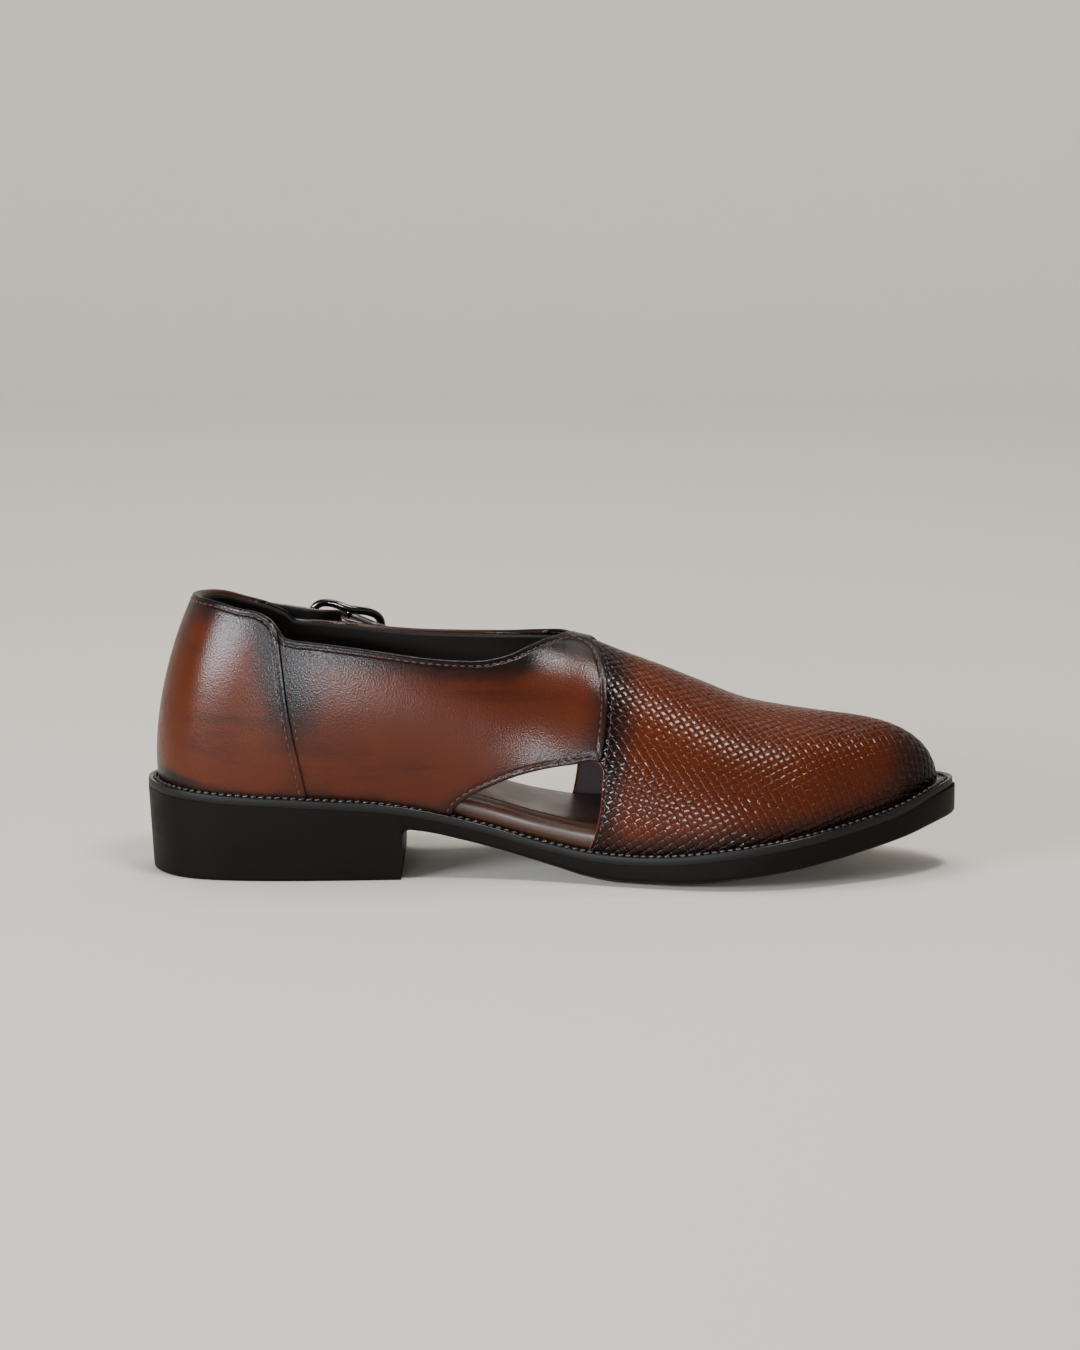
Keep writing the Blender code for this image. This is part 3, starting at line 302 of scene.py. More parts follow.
def round_loop(points, count):
    """A closed curve through the points, even in curvature, as count points."""
    points = np.asarray(points, float)
    n = len(points)
    chords = np.linalg.norm(np.roll(points, -1, axis=0) - points, axis=1) ** 0.5
    before = np.roll(chords, 1)
    system = np.zeros((n, n))
    rises = (np.roll(points, -1, axis=0) - points) / chords[:, None]
    for i in range(n):
        system[i, i] = 2 * (before[i] + chords[i])
        system[i, i - 1] += before[i]
        system[i, (i + 1) % n] += chords[i]
    bends = np.linalg.solve(system, 6 * (rises - np.roll(rises, 1, axis=0)))
    knots = np.concatenate([[0], np.cumsum(chords)])
    at = np.linspace(0, knots[-1], count, endpoint=False)
    cell = np.clip(np.searchsorted(knots, at, side="right") - 1, 0, n - 1)
    following = (cell + 1) % n
    h = chords[cell][:, None]
    a = (knots[cell + 1] - at)[:, None]
    b = (at - knots[cell])[:, None]
    return (
        bends[cell] * a**3 / (6 * h)
        + bends[following] * b**3 / (6 * h)
        + (points[cell] / h - bends[cell] * h / 6) * a
        + (points[following] / h - bends[following] * h / 6) * b
    )


print("a curve through 0, 1, 0 is %.2f high at a quarter" % smooth([0, 1, 2], [0, 1, 0], 0.5))


# %% [markdown]
# The sole's edge is one closed outline round the foot. Welt, footbed and the foot of the last follow
# it at their own distance, so we keep both of its sides and move them in where it is needed.

# %% Outline and heights of the sole
def along_sole(table, x):
    """A table of (share of the length, size, share of the size), read at x."""
    rows = [(at * SOLE_LENGTH, size * share) for at, size, share in table]
    return smooth(*zip(*rows), x)


def welt_top(x):
    rows = [(at * SOLE_LENGTH, share * HEEL_SEAT_HEIGHT) for at, share in HEEL_SEAT]
    rows += [(at * SOLE_LENGTH, rise * a + thick * b) for at, rise, a, thick, b in FOREPART]
    return smooth(*zip(*rows), x)


def underside(x):
    rows = [(at * SOLE_LENGTH, rise * share) for at, rise, share, _, _ in FOREPART]
    return np.where(np.asarray(x) <= HEEL_LENGTH, 0.0, np.maximum(smooth(*zip(*rows), x), 0))


def crown(x):
    rows = [(at * SOLE_LENGTH, share * BALL_CROWN) for at, share in CROWN]
    return np.where(np.asarray(x) <= HEEL_LENGTH, 0.0, smooth(*zip(*rows), x))


def sole_sides():
    medial = [(x * SOLE_LENGTH, -share * width) for x, width, share, _ in SOLE_OUTLINE]
    lateral = [(x * SOLE_LENGTH, share * width) for x, width, _, share in SOLE_OUTLINE]
    loop = round_loop(medial + lateral[-2:0:-1], 6000)
    loop = np.roll(loop, -int(np.argmin(loop[:, 0])), axis=0)
    toe = int(np.argmax(loop[:, 0]))
    return loop[: toe + 1], np.vstack([loop[toe:], loop[:1]])[::-1]


def inset_sides(distance):
    """Both edges of the sole, moved in by a distance that may change along it."""
    moved = []
    for side, sign in zip(SIDES, (1, -1)):
        along = np.gradient(side, axis=0)
        along /= np.linalg.norm(along, axis=1)[:, None] + 1e-12
        normal = np.stack([-along[:, 1], along[:, 0]], axis=1) * sign
        reach = distance(side[:, 0]) if callable(distance) else distance
        moved.append(side + normal * np.reshape(reach, (-1, 1)))
    return moved


def stations(count, extra=()):
    at = SOLE_LENGTH * (1 - np.cos(np.linspace(0, math.pi, count + 1))) / 2
    kept = [x for x in at if all(abs(x - e) > 0.0006 for e in extra)]
    return np.array(sorted(kept + list(extra)))


def edge_loop(sides, xs):
    """One closed loop through both edges: heel, medial side, toe, lateral side."""
    medial, lateral = sides
    heel = (medial[0] + lateral[0]) / 2
    toe = (medial[-1] + lateral[-1]) / 2
    middle = (xs[0] + xs[-1]) / 2
    blend = np.clip(np.abs(xs - middle) / (xs[-1] - middle), 0, 1) ** 6
    moved = xs + np.where(xs < middle, heel[0] - xs[0], toe[0] - xs[-1]) * blend
    ends = [np.interp(moved, np.maximum.accumulate(s[:, 0]), s[:, 1]) for s in sides]
    medial, lateral = (np.stack([moved, end], axis=1) for end in ends)
    medial[0] = lateral[0] = heel
    medial[-1] = lateral[-1] = toe
    return np.vstack([medial, lateral[-2:0:-1]])


SIDES = sole_sides()
print("sole edge points:", len(SIDES[0]) + len(SIDES[1]))

# %% [markdown]
# The last is the wooden form that a shoe is made on. Around the foot its wall rises in upright
# curves to a ridge. We tabulate that surface once. A place on it is then two numbers: how far
# round the shoe, c (0 heel, 1 toe, 2 heel again, the medial side first), and how far up, t.

# %% The last as a table
COLUMNS, ROWS = 1600, 160


def last_table():
    loop = edge_loop(inset_sides(lambda x: along_sole(MARGIN, x)), stations(COLUMNS // 2))
    share = loop[:, 0] / SOLE_LENGTH
    columns = list(zip(*FULLNESS))
    pull = [smooth(columns[0], column, share) for column in columns[1:]]
    ridge_x = pull[0] * SOLE_LENGTH
    ridge_z = along_sole(RIDGE, ridge_x)
    step = 0.0005
    fall = (along_sole(RIDGE, ridge_x + step) - ridge_z) / step
    (x0, s0, p0), (x1, s1, p1) = RIDGE[-2:]
    fall[ridge_x > x1 * SOLE_LENGTH - step] = (s1 * p1 - s0 * p0) / ((x1 - x0) * SOLE_LENGTH)
    ridge_y = np.interp(ridge_x, [0.15, SOLE_LENGTH], [0.0, -0.006])
    lateral = np.arange(COLUMNS) > COLUMNS // 2
    bulge = np.where(lateral, pull[4], pull[2])
    flat = np.where(lateral, pull[5], pull[3])
    foot = np.column_stack([loop, welt_top(loop[:, 0])])
    top = np.column_stack([ridge_x, ridge_y, ridge_z])
    out = foot[:, :2] - top[:, :2]
    reach = np.linalg.norm(out, axis=1)
    out /= reach[:, None]
    tall = top[:, 2] - foot[:, 2]
    low = foot + np.column_stack([out * (bulge * tall)[:, None], pull[1] * tall])
    high = top + np.column_stack([out, fall * out[:, 0]]) * (flat * reach)[:, None]
    t = np.linspace(0, 1, ROWS + 1)[:, None, None]
    places = foot * (1 - t) ** 3 + low * 3 * t * (1 - t) ** 2 + high * 3 * t**2 * (1 - t) + top * t**3
    around = np.roll(places, -1, axis=1) - np.roll(places, 1, axis=1)
    up = np.gradient(places, axis=0)
    normals = np.cross(around, up)
    normals /= np.linalg.norm(normals, axis=2)[:, :, None] + 1e-15
    crest = np.column_stack([-fall, np.zeros(COLUMNS), np.ones(COLUMNS)])
    crest /= np.linalg.norm(crest, axis=1)[:, None]
    normals *= np.sign((normals * np.column_stack([out, np.ones(COLUMNS)])).sum(axis=2))[:, :, None]
    at_ridge = np.clip((t - 0.955) / 0.045, 0, 1)
    normals = normals * (1 - at_ridge) + crest * at_ridge
    normals /= np.linalg.norm(normals, axis=2)[:, :, None]
    return places, normals


PLACES, NORMALS = last_table()


def read(table, c, t):
    """A table over the last, read at any c and t."""
    c = np.mod(np.asarray(c, float), 2) * COLUMNS / 2
    t = np.clip(np.asarray(t, float), 0, 1) * ROWS
    i, j = np.floor(c).astype(int) % COLUMNS, np.minimum(t.astype(int), ROWS - 1)
    n = (i + 1) % COLUMNS
    u, v = c - np.floor(c), t - j
    if table.ndim == 3:
        u, v = u[..., None], v[..., None]
    low = table[j, i] * (1 - u) + table[j, n] * u
    high = table[j + 1, i] * (1 - u) + table[j + 1, n] * u
    return low * (1 - v) + high * v


print("last: X to %.1f mm, top %.1f mm" % (PLACES[..., 0].max() * 1e3, PLACES[..., 2].max() * 1e3))

# %% [markdown]
# A pattern cutter marks seams on the side of the last. Here each seam is an outline in the side
# view. The lateral cut-out is a little further back, so both sides have their own outlines.

# %% Outlines of the seams
def curve_through(rows):
    """A smooth line through the rows, with six steps from each to the next."""
    rows = np.asarray(rows, float)
    knots = np.concatenate([[0], np.cumsum(np.linalg.norm(np.diff(rows, axis=0), axis=1))])
    parts = [np.linspace(a, b, 7) for a, b in zip(knots, knots[1:])]
    at = np.unique(np.concatenate(parts))
    return np.column_stack([smooth(knots, rows[:, 0], at), smooth(knots, rows[:, 1], at)])


def collar_outline(lateral):
    xs = np.concatenate([[-0.03], np.linspace(0, 0.1589, 140)])
    line = along_sole(LATERAL_COLLAR if lateral else MEDIAL_COLLAR, xs)
    return np.array([*zip(xs, line), (xs[-1], 0.2), (xs[0], 0.2)])


def seam_outline(table, furthest, tall, shift):
    rows = [(x * furthest + shift * np.clip(2.6 - 3 * z, 0, 1), z * tall) for x, z in table]
    seam = curve_through(rows)
    return np.array([(-0.05, seam[0, 1]), *seam, (-0.05, seam[-1, 1])])


def window_outline(shift):
    width = WINDOW_FRONT_X - WINDOW_REAR_X
    corners = [(WINDOW_REAR_X + shift + x * width, z * WINDOW_HEIGHT) for x, z in WINDOW]
    return np.array([*curve_through(corners[:-1]), corners[-1]])


print("corners of the front seam:", len(seam_outline(FRONT_SEAM, 1, 1, 0)))


# %% [markdown]
# For every place on the last we keep its signed distance to each outline, positive inside. A panel is
# then wherever its distances are positive, and a row of stitches is a line of one distance. Cutting
# the mesh with curves would give the edges too, but not the distances that burnish and thread use.

# %% Seams as distances
def signed(outline, x, z):
    """Distance to a closed outline, positive inside it."""
    best = np.full(x.shape, np.inf)
    inside = np.zeros(x.shape, bool)
    for (ax, az), (bx, bz) in zip(outline, np.roll(outline, -1, axis=0)):
        dx, dz = bx - ax, bz - az
        share = np.clip(((x - ax) * dx + (z - az) * dz) / (dx * dx + dz * dz + 1e-18), 0, 1)
        best = np.minimum(best, (x - ax - share * dx) ** 2 + (z - az - share * dz) ** 2)
        if az != bz:
            crosses = (az > z) != (bz > z)
            inside ^= crosses & (x < ax + (z - az) * dx / dz)
    return np.where(inside, 1, -1) * np.sqrt(best)


MM = 1e-3
VAMP, QUARTER, COUNTER = 2.0 * MM, 3.2 * MM, 4.3 * MM


def side_field(outline_of, height):
    """One signed distance for each place at this height over the last, from its side's outline."""
    field = np.empty(PLACES.shape[:2])
    half = COLUMNS // 2
    for lateral, columns in ((False, slice(0, half + 1)), (True, slice(half + 1, None))):
        places = PLACES[:, columns] + NORMALS[:, columns] * height
        field[:, columns] = signed(outline_of(lateral), places[..., 0], places[..., 2])
    return field


SHIFTS = {False: 0.0, True: LATERAL_WINDOW_SHIFT}
BELOW_COLLAR = -side_field(collar_outline, QUARTER)
BEHIND_SEAM = side_field(
    lambda lateral: seam_outline(FRONT_SEAM, FRONT_SEAM_X, THROAT_HEIGHT, SHIFTS[lateral]), QUARTER
)
IN_COUNTER = side_field(
    lambda lateral: seam_outline(COUNTER_SEAM, COUNTER_SEAM_X, COUNTER_SHOULDER, 0.0), COUNTER
)
OFF_WINDOW = -side_field(lambda lateral: window_outline(SHIFTS[lateral]), VAMP)
print("seams marked on", PLACES.shape[0] * PLACES.shape[1], "places")

# %% [markdown]
# A panel starts as a net of cells over the last. Its topline follows the collar, so the net's
# upper row does too.

# %% Nets
def top_line(level):
    """For each column of the last, how far up the line at this distance under the collar is."""
    t = np.linspace(0, 1, ROWS + 1)
    under = BELOW_COLLAR - level
    tops = np.ones(COLUMNS)
    for k in range(COLUMNS):
        above = np.flatnonzero(under[:, k] < 0)
        above = above[t[above] > 0.3]
        if len(above):
            j = above[0]
            share = under[j - 1, k] / (under[j - 1, k] - under[j, k])
            tops[k] = t[j - 1] + share * (t[j] - t[j - 1])
    return tops


def net(c_from, c_to, columns, rows, edge=None, zipped=False, closed=False):
    """Cells over the last as (c, t) corners and triangles. A zipped net joins along the ridge,
    where it reaches that far, and a closed one joins its first column to its last."""
    c = np.linspace(c_from, c_to, columns + 1)
    tops = np.ones(len(c))
    if edge is not None:
        tops = np.interp(np.mod(c, 2) * COLUMNS / 2, np.arange(COLUMNS + 1), np.append(edge, edge[0]))
    share = np.linspace(0, 1, rows + 1)
    corners = np.stack([np.tile(c, rows + 1), (share[:, None] * tops).ravel()], axis=1)
    index = np.arange(len(corners)).reshape(rows + 1, columns + 1)
    if closed:
        index[:, -1] = index[:, 0]
    if zipped:
        whole = (tops >= 1) & (tops[::-1] >= 1)
        index[-1] = np.where(whole, np.minimum(index[-1], index[-1][::-1]), index[-1])
    a, b, d, e = index[:-1, :-1], index[:-1, 1:], index[1:, 1:], index[1:, :-1]
    even = (np.add.outer(np.arange(rows), np.arange(columns)) % 2 == 0)[..., None]
    first = np.where(even, np.stack([a, b, d], -1), np.stack([a, b, e], -1))
    second = np.where(even, np.stack([a, d, e], -1), np.stack([b, d, e], -1))
    tris = np.concatenate([first.reshape(-1, 3), second.reshape(-1, 3)])
    tris = tris[(tris[:, 0] != tris[:, 1]) & (tris[:, 1] != tris[:, 2]) & (tris[:, 0] != tris[:, 2])]
    return corners, tris


print("a net of 4 by 3 cells has", len(net(0, 1, 4, 3)[1]), "triangles before it is trimmed")


# %% [markdown]
# Every other edge cuts across the net. A boolean would leave slivers there. So corners near the
# edge slide onto it first, and what is left of a cut cell is closed with triangles. This gives
# clean edges with few faces.

# %% Trimming
def part_way(a, b, share):
    """A place between the corners a and b, also across the joins of a closed or zipped net."""
    (ca, ta), (cb, tb) = a.T, b.T
    mirrored = np.abs(2 - ca - cb) < np.abs(ca - cb)
    ca = np.where(mirrored & (ta >= 1), 2 - ca, ca)
    cb = np.where(mirrored & (tb >= 1) & (ta < 1), 2 - cb, cb)
    cb = cb + 2 * np.round((ca - cb) / 2)
    return np.stack([ca + (cb - ca) * share, ta + (tb - ta) * share], axis=-1)


def trim(corners, tris, keep):
    """Cuts a net where the function keep(c, t) falls to zero."""
    corners = corners.copy()
    value = keep(corners[:, 0], corners[:, 1])
    for _ in range(2):
        ends = np.unique(np.sort(tris[:, [0, 1, 1, 2, 2, 0]].reshape(-1, 2), axis=1), axis=0)
        va, vb = value[ends[:, 0]], value[ends[:, 1]]
        cross = (va * vb) < 0
        ends, va, vb = ends[cross], va[cross], vb[cross]
        share = va / (va - vb)
        for end, toward, part in ((0, 1, share), (1, 0, 1 - share)):
            close = part < 0.34
            who = ends[close, end]
            order = np.argsort(-part[close])
            who, other, amount = who[order], ends[close, toward][order], part[close][order]
            target = part_way(corners[who], corners[other], amount)
            free = value[who] != 0
            corners[who[free]] = target[free]
            value[who[free]] = 0
    signs = np.sign(value[tris])
    whole = tris[(signs >= 0).all(axis=1) & (signs > 0).any(axis=1)]
    mixed = tris[(signs > 0).any(axis=1) & (signs < 0).any(axis=1)]
    made, extra, new = {}, [], []

    def between(i, j):
        key = (min(i, j), max(i, j))
        if key not in made:
            share = value[i] / (value[i] - value[j])
            made[key] = len(corners) + len(extra)
            extra.append(part_way(corners[i : i + 1], corners[j : j + 1], share)[0])
        return made[key]

    for tri in mixed:
        ring = []
        for i, j in zip(tri, np.roll(tri, -1)):
            if value[i] >= 0:
                ring.append(i)
            if value[i] * value[j] < 0:
                ring.append(between(i, j))
        new += [(ring[0], ring[n], ring[n + 1]) for n in range(1, len(ring) - 1)]
    if extra:
        corners = np.vstack([corners, extra])
    tris = np.vstack([whole, np.array(new, int).reshape(-1, 3)])
    used, tris = np.unique(tris, return_inverse=True)
    return corners[used], tris.reshape(-1, 3)


def border(tris):
    """The loops of edges that only one triangle has, each in order."""
    edges = tris[:, [0, 1, 1, 2, 2, 0]].reshape(-1, 2)
    known = {(a, b) for a, b in edges.tolist()}
    following = {}
    for a, b in known:
        if (b, a) not in known:
            following.setdefault(a, []).append(b)
    loops = []
    while following:
        start = next(iter(following))
        loop = [start]
        while True:
            here = loop[-1]
            ahead = following[here].pop()
            if not following[here]:
                del following[here]
            if ahead == start:
                break
            loop.append(ahead)
        loops.append(np.array(loop))
    return loops


print("loops round a whole net:", len(border(net(0, 1, 4, 3)[1])))

# %% [markdown]
# Every piece is finished in the same way. Its points move back from the heel to the middle of the
# frame, it gets its values and its material, it is hung under the root, and the solid that it stands
# for is hidden.

# %% A finished piece
SHIFT = np.array([HEEL_LENGTH / 2, 0, 0])


def mesh_piece(name, points, faces, node, material, values=None):
    """A finished piece, with its place in its mesh and any values kept for its material."""
    mesh = bpy.data.meshes.new(name)
    mesh.from_pydata(np.asarray(points, float) - SHIFT, [], [tuple(map(int, f)) for f in faces])
    for key, data in (values or {}).items():
        kind = "FLOAT_VECTOR" if np.ndim(data) == 2 else "FLOAT"
        layer = mesh.attributes.new(key, kind, "POINT")
        layer.data.foreach_set("vector" if kind == "FLOAT_VECTOR" else "value",
                               np.asarray(data, np.float32).ravel())
    mesh.shade_smooth()
    mesh.materials.append(material)
    mesh.update()
    piece = bpy.data.objects.new(name, mesh)
    bpy.context.scene.collection.objects.link(piece)
    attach(piece, "root")
    if node:
        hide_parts(node)
    print(name + ":", sum(len(f) - 2 for f in faces), "triangles")
    return piece


print("points move back by %.0f mm" % (SHIFT[0] * 1e3))


# %% [markdown]
# Leather has thickness, and its edges are folded over and hammered. So each trimmed net becomes a
# closed shell: an outer face, an inner face, and a rounded rim that joins them. A solidify modifier
# would give square edges and one thickness. Here the inner face may be coarser, and where two
# panels overlap, the upper one's is lifted over the lower one.

# %% Shells with folded edges
def rim_ways(points, normals, loop):
    """Across each corner of a border, the direction that leaves the panel."""
    along = np.roll(points[loop], -1, axis=0) - points[loop]
    along /= np.linalg.norm(along, axis=1)[:, None] + 1e-12
    along = along + np.roll(along, 1, axis=0)
    ways = np.cross(along, normals[loop])
    return ways / (np.linalg.norm(ways, axis=1)[:, None] + 1e-12)


def strip(points, ring, other):
    """Triangles between two loops that run side by side, with any number of corners each."""
    other = np.roll(other, -int(np.argmin(((points[other] - points[ring[0]]) ** 2).sum(axis=1))))
    a, b = np.append(ring, ring[0]), np.append(other, other[0])
    faces, i, j = [], 0, 0
    while i < len(ring) or j < len(other):
        gap_a = gap_b = math.inf
        if i < len(ring):
            gap_a = ((points[a[i + 1]] - points[b[j]]) ** 2).sum()
        if j < len(other):
            gap_b = ((points[a[i]] - points[b[j + 1]]) ** 2).sum()
        if gap_a <= gap_b:
            faces.append((a[i], b[j], a[i + 1]))
            i += 1
        else:
            faces.append((a[i], b[j], b[j + 1]))
            j += 1
    return np.array(faces)


def facing_out(corners, tris):
    base = read(PLACES, corners[:, 0], corners[:, 1])
    normal = read(NORMALS, corners[:, 0], corners[:, 1])
    facing = np.cross(base[tris[:, 1]] - base[tris[:, 0]], base[tris[:, 2]] - base[tris[:, 0]])
    return base, normal, tris if (facing * normal[tris[:, 0]]).sum() > 0 else tris[:, ::-1]


def shell(face_net, back_net, outer, inner, fold, arc=4):
    """A panel with folded edges. The back may have a coarser net, cut along the same edges. Each
    point also gets a corner of the face: the one that it lies at or next to, and the first one on the
    back."""
    corners = face_net[0]
    base, normal, tris = facing_out(*face_net)
    back, back_normal, back_tris = facing_out(*back_net)
    count = len(base)
    points = [base + normal * outer(corners)[:, None]]
    points.append(back + back_normal * inner(back_net[0])[:, None])
    nearest = np.zeros(len(back), int)
    source = [np.arange(count), nearest]
    faces = [tris, back_tris[:, ::-1] + count]
    size = count + len(back)
    level, floor = outer(corners), inner(corners)
    rims = []
    for loop in border(tris):
        ways = rim_ways(base, normal, loop)
        rings = [loop]
        angles = np.linspace(0, math.pi / 2, arc + 1)[1:]
        steps = [(fold * math.sin(a), fold * (math.cos(a) - 1), level) for a in angles]
        steps += [(fold, 0.0, floor), (0.0, 0.0, floor)]
        for reach, drop, height in steps:
            points.append(base[loop] + ways * reach + normal[loop] * (height[loop] + drop)[:, None])
            source.append(loop)
            rings.append(size + np.arange(len(loop)))
            size += len(loop)
        for a, b in zip(rings, rings[1:]):
            n = np.roll(a, -1), np.roll(b, -1)
            faces.append(np.stack([a, b, n[1]], axis=1))
            faces.append(np.stack([a, n[1], n[0]], axis=1))
        rims.append(rings[-1])
    points = np.vstack(points)
    for rim in rims:
        middle = points[rim].mean(axis=0)
        loops = [loop + count for loop in border(back_tris)]
        loop = min(loops, key=lambda one: ((points[one].mean(axis=0) - middle) ** 2).sum())
        faces.append(strip(points, rim, loop))
    return points, np.vstack(faces), np.concatenate(source)


print("panels: nets are trimmed, thickened and folded at their edges")

# %% [markdown]
# Finishes and stitches are both trees of nodes. Two helpers set a node's inputs and link them.

# %% Nodes
def put(tree, value, socket):
    """Gives a socket a value, which may be a number, a colour or the socket of another node."""
    if isinstance(value, bpy.types.NodeSocket):
        tree.links.new(value, socket)
    elif socket.type == "RGBA" and hasattr(value, "__len__") and len(value) == 3:
        socket.default_value = (*value, 1)
    else:
        socket.default_value = value


def add_node(tree, kind, inputs=(), **settings):
    made = tree.nodes.new(kind)
    for key, value in settings.items():
        setattr(made, key, value)
    for key, value in dict(inputs).items():
        put(tree, value, made.inputs[key])
    return made


# %% [markdown]
# Each finish is a few shader nodes. Pictures could do it too, but nodes stay sharp at any size. This
# small class gives them short names, so that a recipe reads like one: a base colour, what darkens
# it, how rough it is, and what stands out from it.

# %% A short way to write finishes
class Finish:
    """A material in the making. Values may be numbers, colours or the sockets of other nodes."""

    def __init__(self, name, roughness=0.5, metallic=0.0, coat=0.0, coat_roughness=0.1, shine=0.5):
        self.material = bpy.data.materials.new(name)
        self.material.use_nodes = True
        self.tree = self.material.node_tree
        self.shader = self.tree.nodes["Principled BSDF"]
        for socket, value in (("Roughness", roughness), ("Metallic", metallic), ("Coat Weight", coat),
                              ("Coat Roughness", coat_roughness), ("IOR", 1.5),
                              ("Specular IOR Level", shine)):
            self.shader.inputs[socket].default_value = value

    def node(self, kind, inputs=(), **settings):
        return add_node(self.tree, kind, inputs, **settings)

    def math(self, operation, *values):
        return self.node("ShaderNodeMath", enumerate(values), operation=operation).outputs[0]

    def value(self, name):
        return self.node("ShaderNodeAttribute", attribute_name=name).outputs["Fac"]

    def vector(self, name):
        return self.node("ShaderNodeAttribute", attribute_name=name).outputs["Vector"]

    def place(self, scale=(1, 1, 1), turn=(0, 0, 0)):
        where = self.node("ShaderNodeTexCoord").outputs["Object"]
        inputs = {"Vector": where, "Scale": scale, "Rotation": turn}
        return self.node("ShaderNodeMapping", inputs).outputs[0]

    def noise(self, scale, detail=3.0, roughness=0.5, distortion=0.0, where=None):
        inputs = {"Scale": scale, "Detail": detail, "Roughness": roughness, "Distortion": distortion,
                  "Vector": where or self.place()}
        return self.node("ShaderNodeTexNoise", inputs).outputs["Fac"]

    def span(self, value, low, high, to_low=0.0, to_high=1.0):
        """Rescales the value, held inside its limits, with soft ends."""
        inputs = {"Value": value, "From Min": low, "From Max": high, "To Min": to_low, "To Max": to_high}
        return self.node("ShaderNodeMapRange", inputs, interpolation_type="SMOOTHSTEP").outputs[0]

    def mix(self, share, first, second):
        inputs = {0: share, 6: first, 7: second}
        return self.node("ShaderNodeMix", inputs, data_type="RGBA").outputs[2]

    def bump(self, height, distance, strength=1.0, under=None):
        inputs = {"Height": height, "Distance": distance, "Strength": strength}
        if under is not None:
            inputs["Normal"] = under
        return self.node("ShaderNodeBump", inputs).outputs[0]

    def done(self, colour=None, roughness=None, normal=None, coat_normal=None):
        for value, socket in ((colour, "Base Color"), (roughness, "Roughness"), (normal, "Normal"),
                              (coat_normal, "Coat Normal")):
            if value is not None:
                put(self.tree, value, self.shader.inputs[socket])
        return self.material


def srgb(red, green, blue):
    """A colour as a picture editor gives it, 0 to 255, in the renderer's linear values."""
    return tuple(((v / 255 + 0.055) / 1.055) ** 2.4 if v > 10 else v / 255 / 12.92
                 for v in (red, green, blue))


print("a picture editor's 128 is %.3f in linear values" % srgb(128, 128, 128)[0])

# %% [markdown]
# The smooth leather is dyed cognac brown, with faint dark streaks that run along the shoe like wood
# grain. Then its edges are burnished: wax and a hot wheel turn them nearly black. The panels carry
# that as a value from 0 to 1, worked out from the distance to each of their edges. A painted map
# would need unwrapping, and this value follows every edge by itself.

# %% Smooth leather
COGNAC = srgb(72, 27, 7)
DEEP_BROWN = srgb(38, 14, 8)
NEAR_BLACK = srgb(7, 5, 5)
THREAD_BROWN = srgb(76, 30, 16)


def burnished(f, colour, ragged_scale=95.0, ragged=0.55):
    """Darkens a colour where the burnish is strong, with a ragged edge."""
    wander = f.math("SUBTRACT", f.noise(ragged_scale, 5.0, 0.65), 0.5)
    burnish = f.math("ADD", f.value("burnish"), f.math("MULTIPLY", wander, ragged))
    colour = f.mix(f.span(burnish, 0.05, 0.55), colour, DEEP_BROWN)
    return f.mix(f.span(burnish, 0.40, 0.95), colour, NEAR_BLACK)


def smooth_leather():
    f = Finish("burnished_leather", coat=0.40, coat_roughness=0.23, shine=0.05)
    drift = f.noise(9.0, 3.0, 0.5)
    along = f.place((0.22, 0.6, 1.0), (0, 0.16, 0))
    streaks = f.span(f.noise(60.0, 5.0, 0.55, 1.2, where=along), 0.48, 0.70)
    colour = f.mix(f.span(drift, 0.35, 0.7), COGNAC, srgb(62, 22, 8))
    colour = f.mix(f.math("MULTIPLY", streaks, 0.7), colour, DEEP_BROWN)
    colour = burnished(f, colour)
    grain = f.node("ShaderNodeTexVoronoi", {"Scale": 1700.0, "Vector": f.place()}).outputs["Distance"]
    normal = f.bump(grain, 0.00006, 0.8)
    normal = f.bump(f.noise(900.0, 3.0, 0.6), 0.00003, 0.5, normal)
    waves = f.noise(70.0, 2.0, 0.4, where=f.place((0.5, 1, 1)))
    normal = f.bump(waves, 0.0002, 0.2, normal)
    groove = f.value("seam")
    pulled = f.math("POWER", 2.718, f.math("MULTIPLY", f.math("MULTIPLY", groove, groove), -3.0))
    normal = f.bump(f.math("MULTIPLY", pulled, -1.0), 0.0002, 0.9, normal)
    rough = f.span(f.noise(240.0, 3.0, 0.6), 0.3, 0.7, 0.36, 0.48)
    return f.done(colour, rough, normal, normal)


SMOOTH_LEATHER = smooth_leather()


print("finish:", SMOOTH_LEATHER.name)


# %% [markdown]
# The lining is a thin dark leather with a dull, even face. In the front corner of the cut-outs it
# looks greyer in the photo, so its colour changes there. One finish with a blend along the shoe
# does that without a second piece.

# %% Lining leather
def dark_lining():
    f = Finish("lining_leather", roughness=0.6, shine=0.25)
    colour = f.mix(f.noise(60.0), srgb(15, 10, 9), srgb(25, 16, 13))
    where = f.node("ShaderNodeSeparateXYZ", {"Vector": f.node("ShaderNodeTexCoord").outputs["Object"]})
    colour = f.mix(f.span(where.outputs[0], 0.106, 0.112), colour, srgb(80, 67, 71))
    normal = f.bump(f.noise(1400.0, 3.0, 0.6), 0.00005, 0.5)
    return f.done(colour, 0.62, normal)


LINING = dark_lining()
print("finish:", LINING.name)

# %% [markdown]
# The burnish and the thread's groove depend on how far a place is from the edges round it. These
# helpers read those distances at a panel's corners and turn them into values from 0 to 1.

# %% Values by distance
def near(distance, width, power=1.5):
    """1 at an edge, falling to 0 over about the given width."""
    return np.exp(-((np.maximum(distance, 0) / width) ** power))


def darkest(*parts):
    left = 1.0
    for part in parts:
        left = left * (1 - np.clip(part, 0, 1))
    return 1 - left


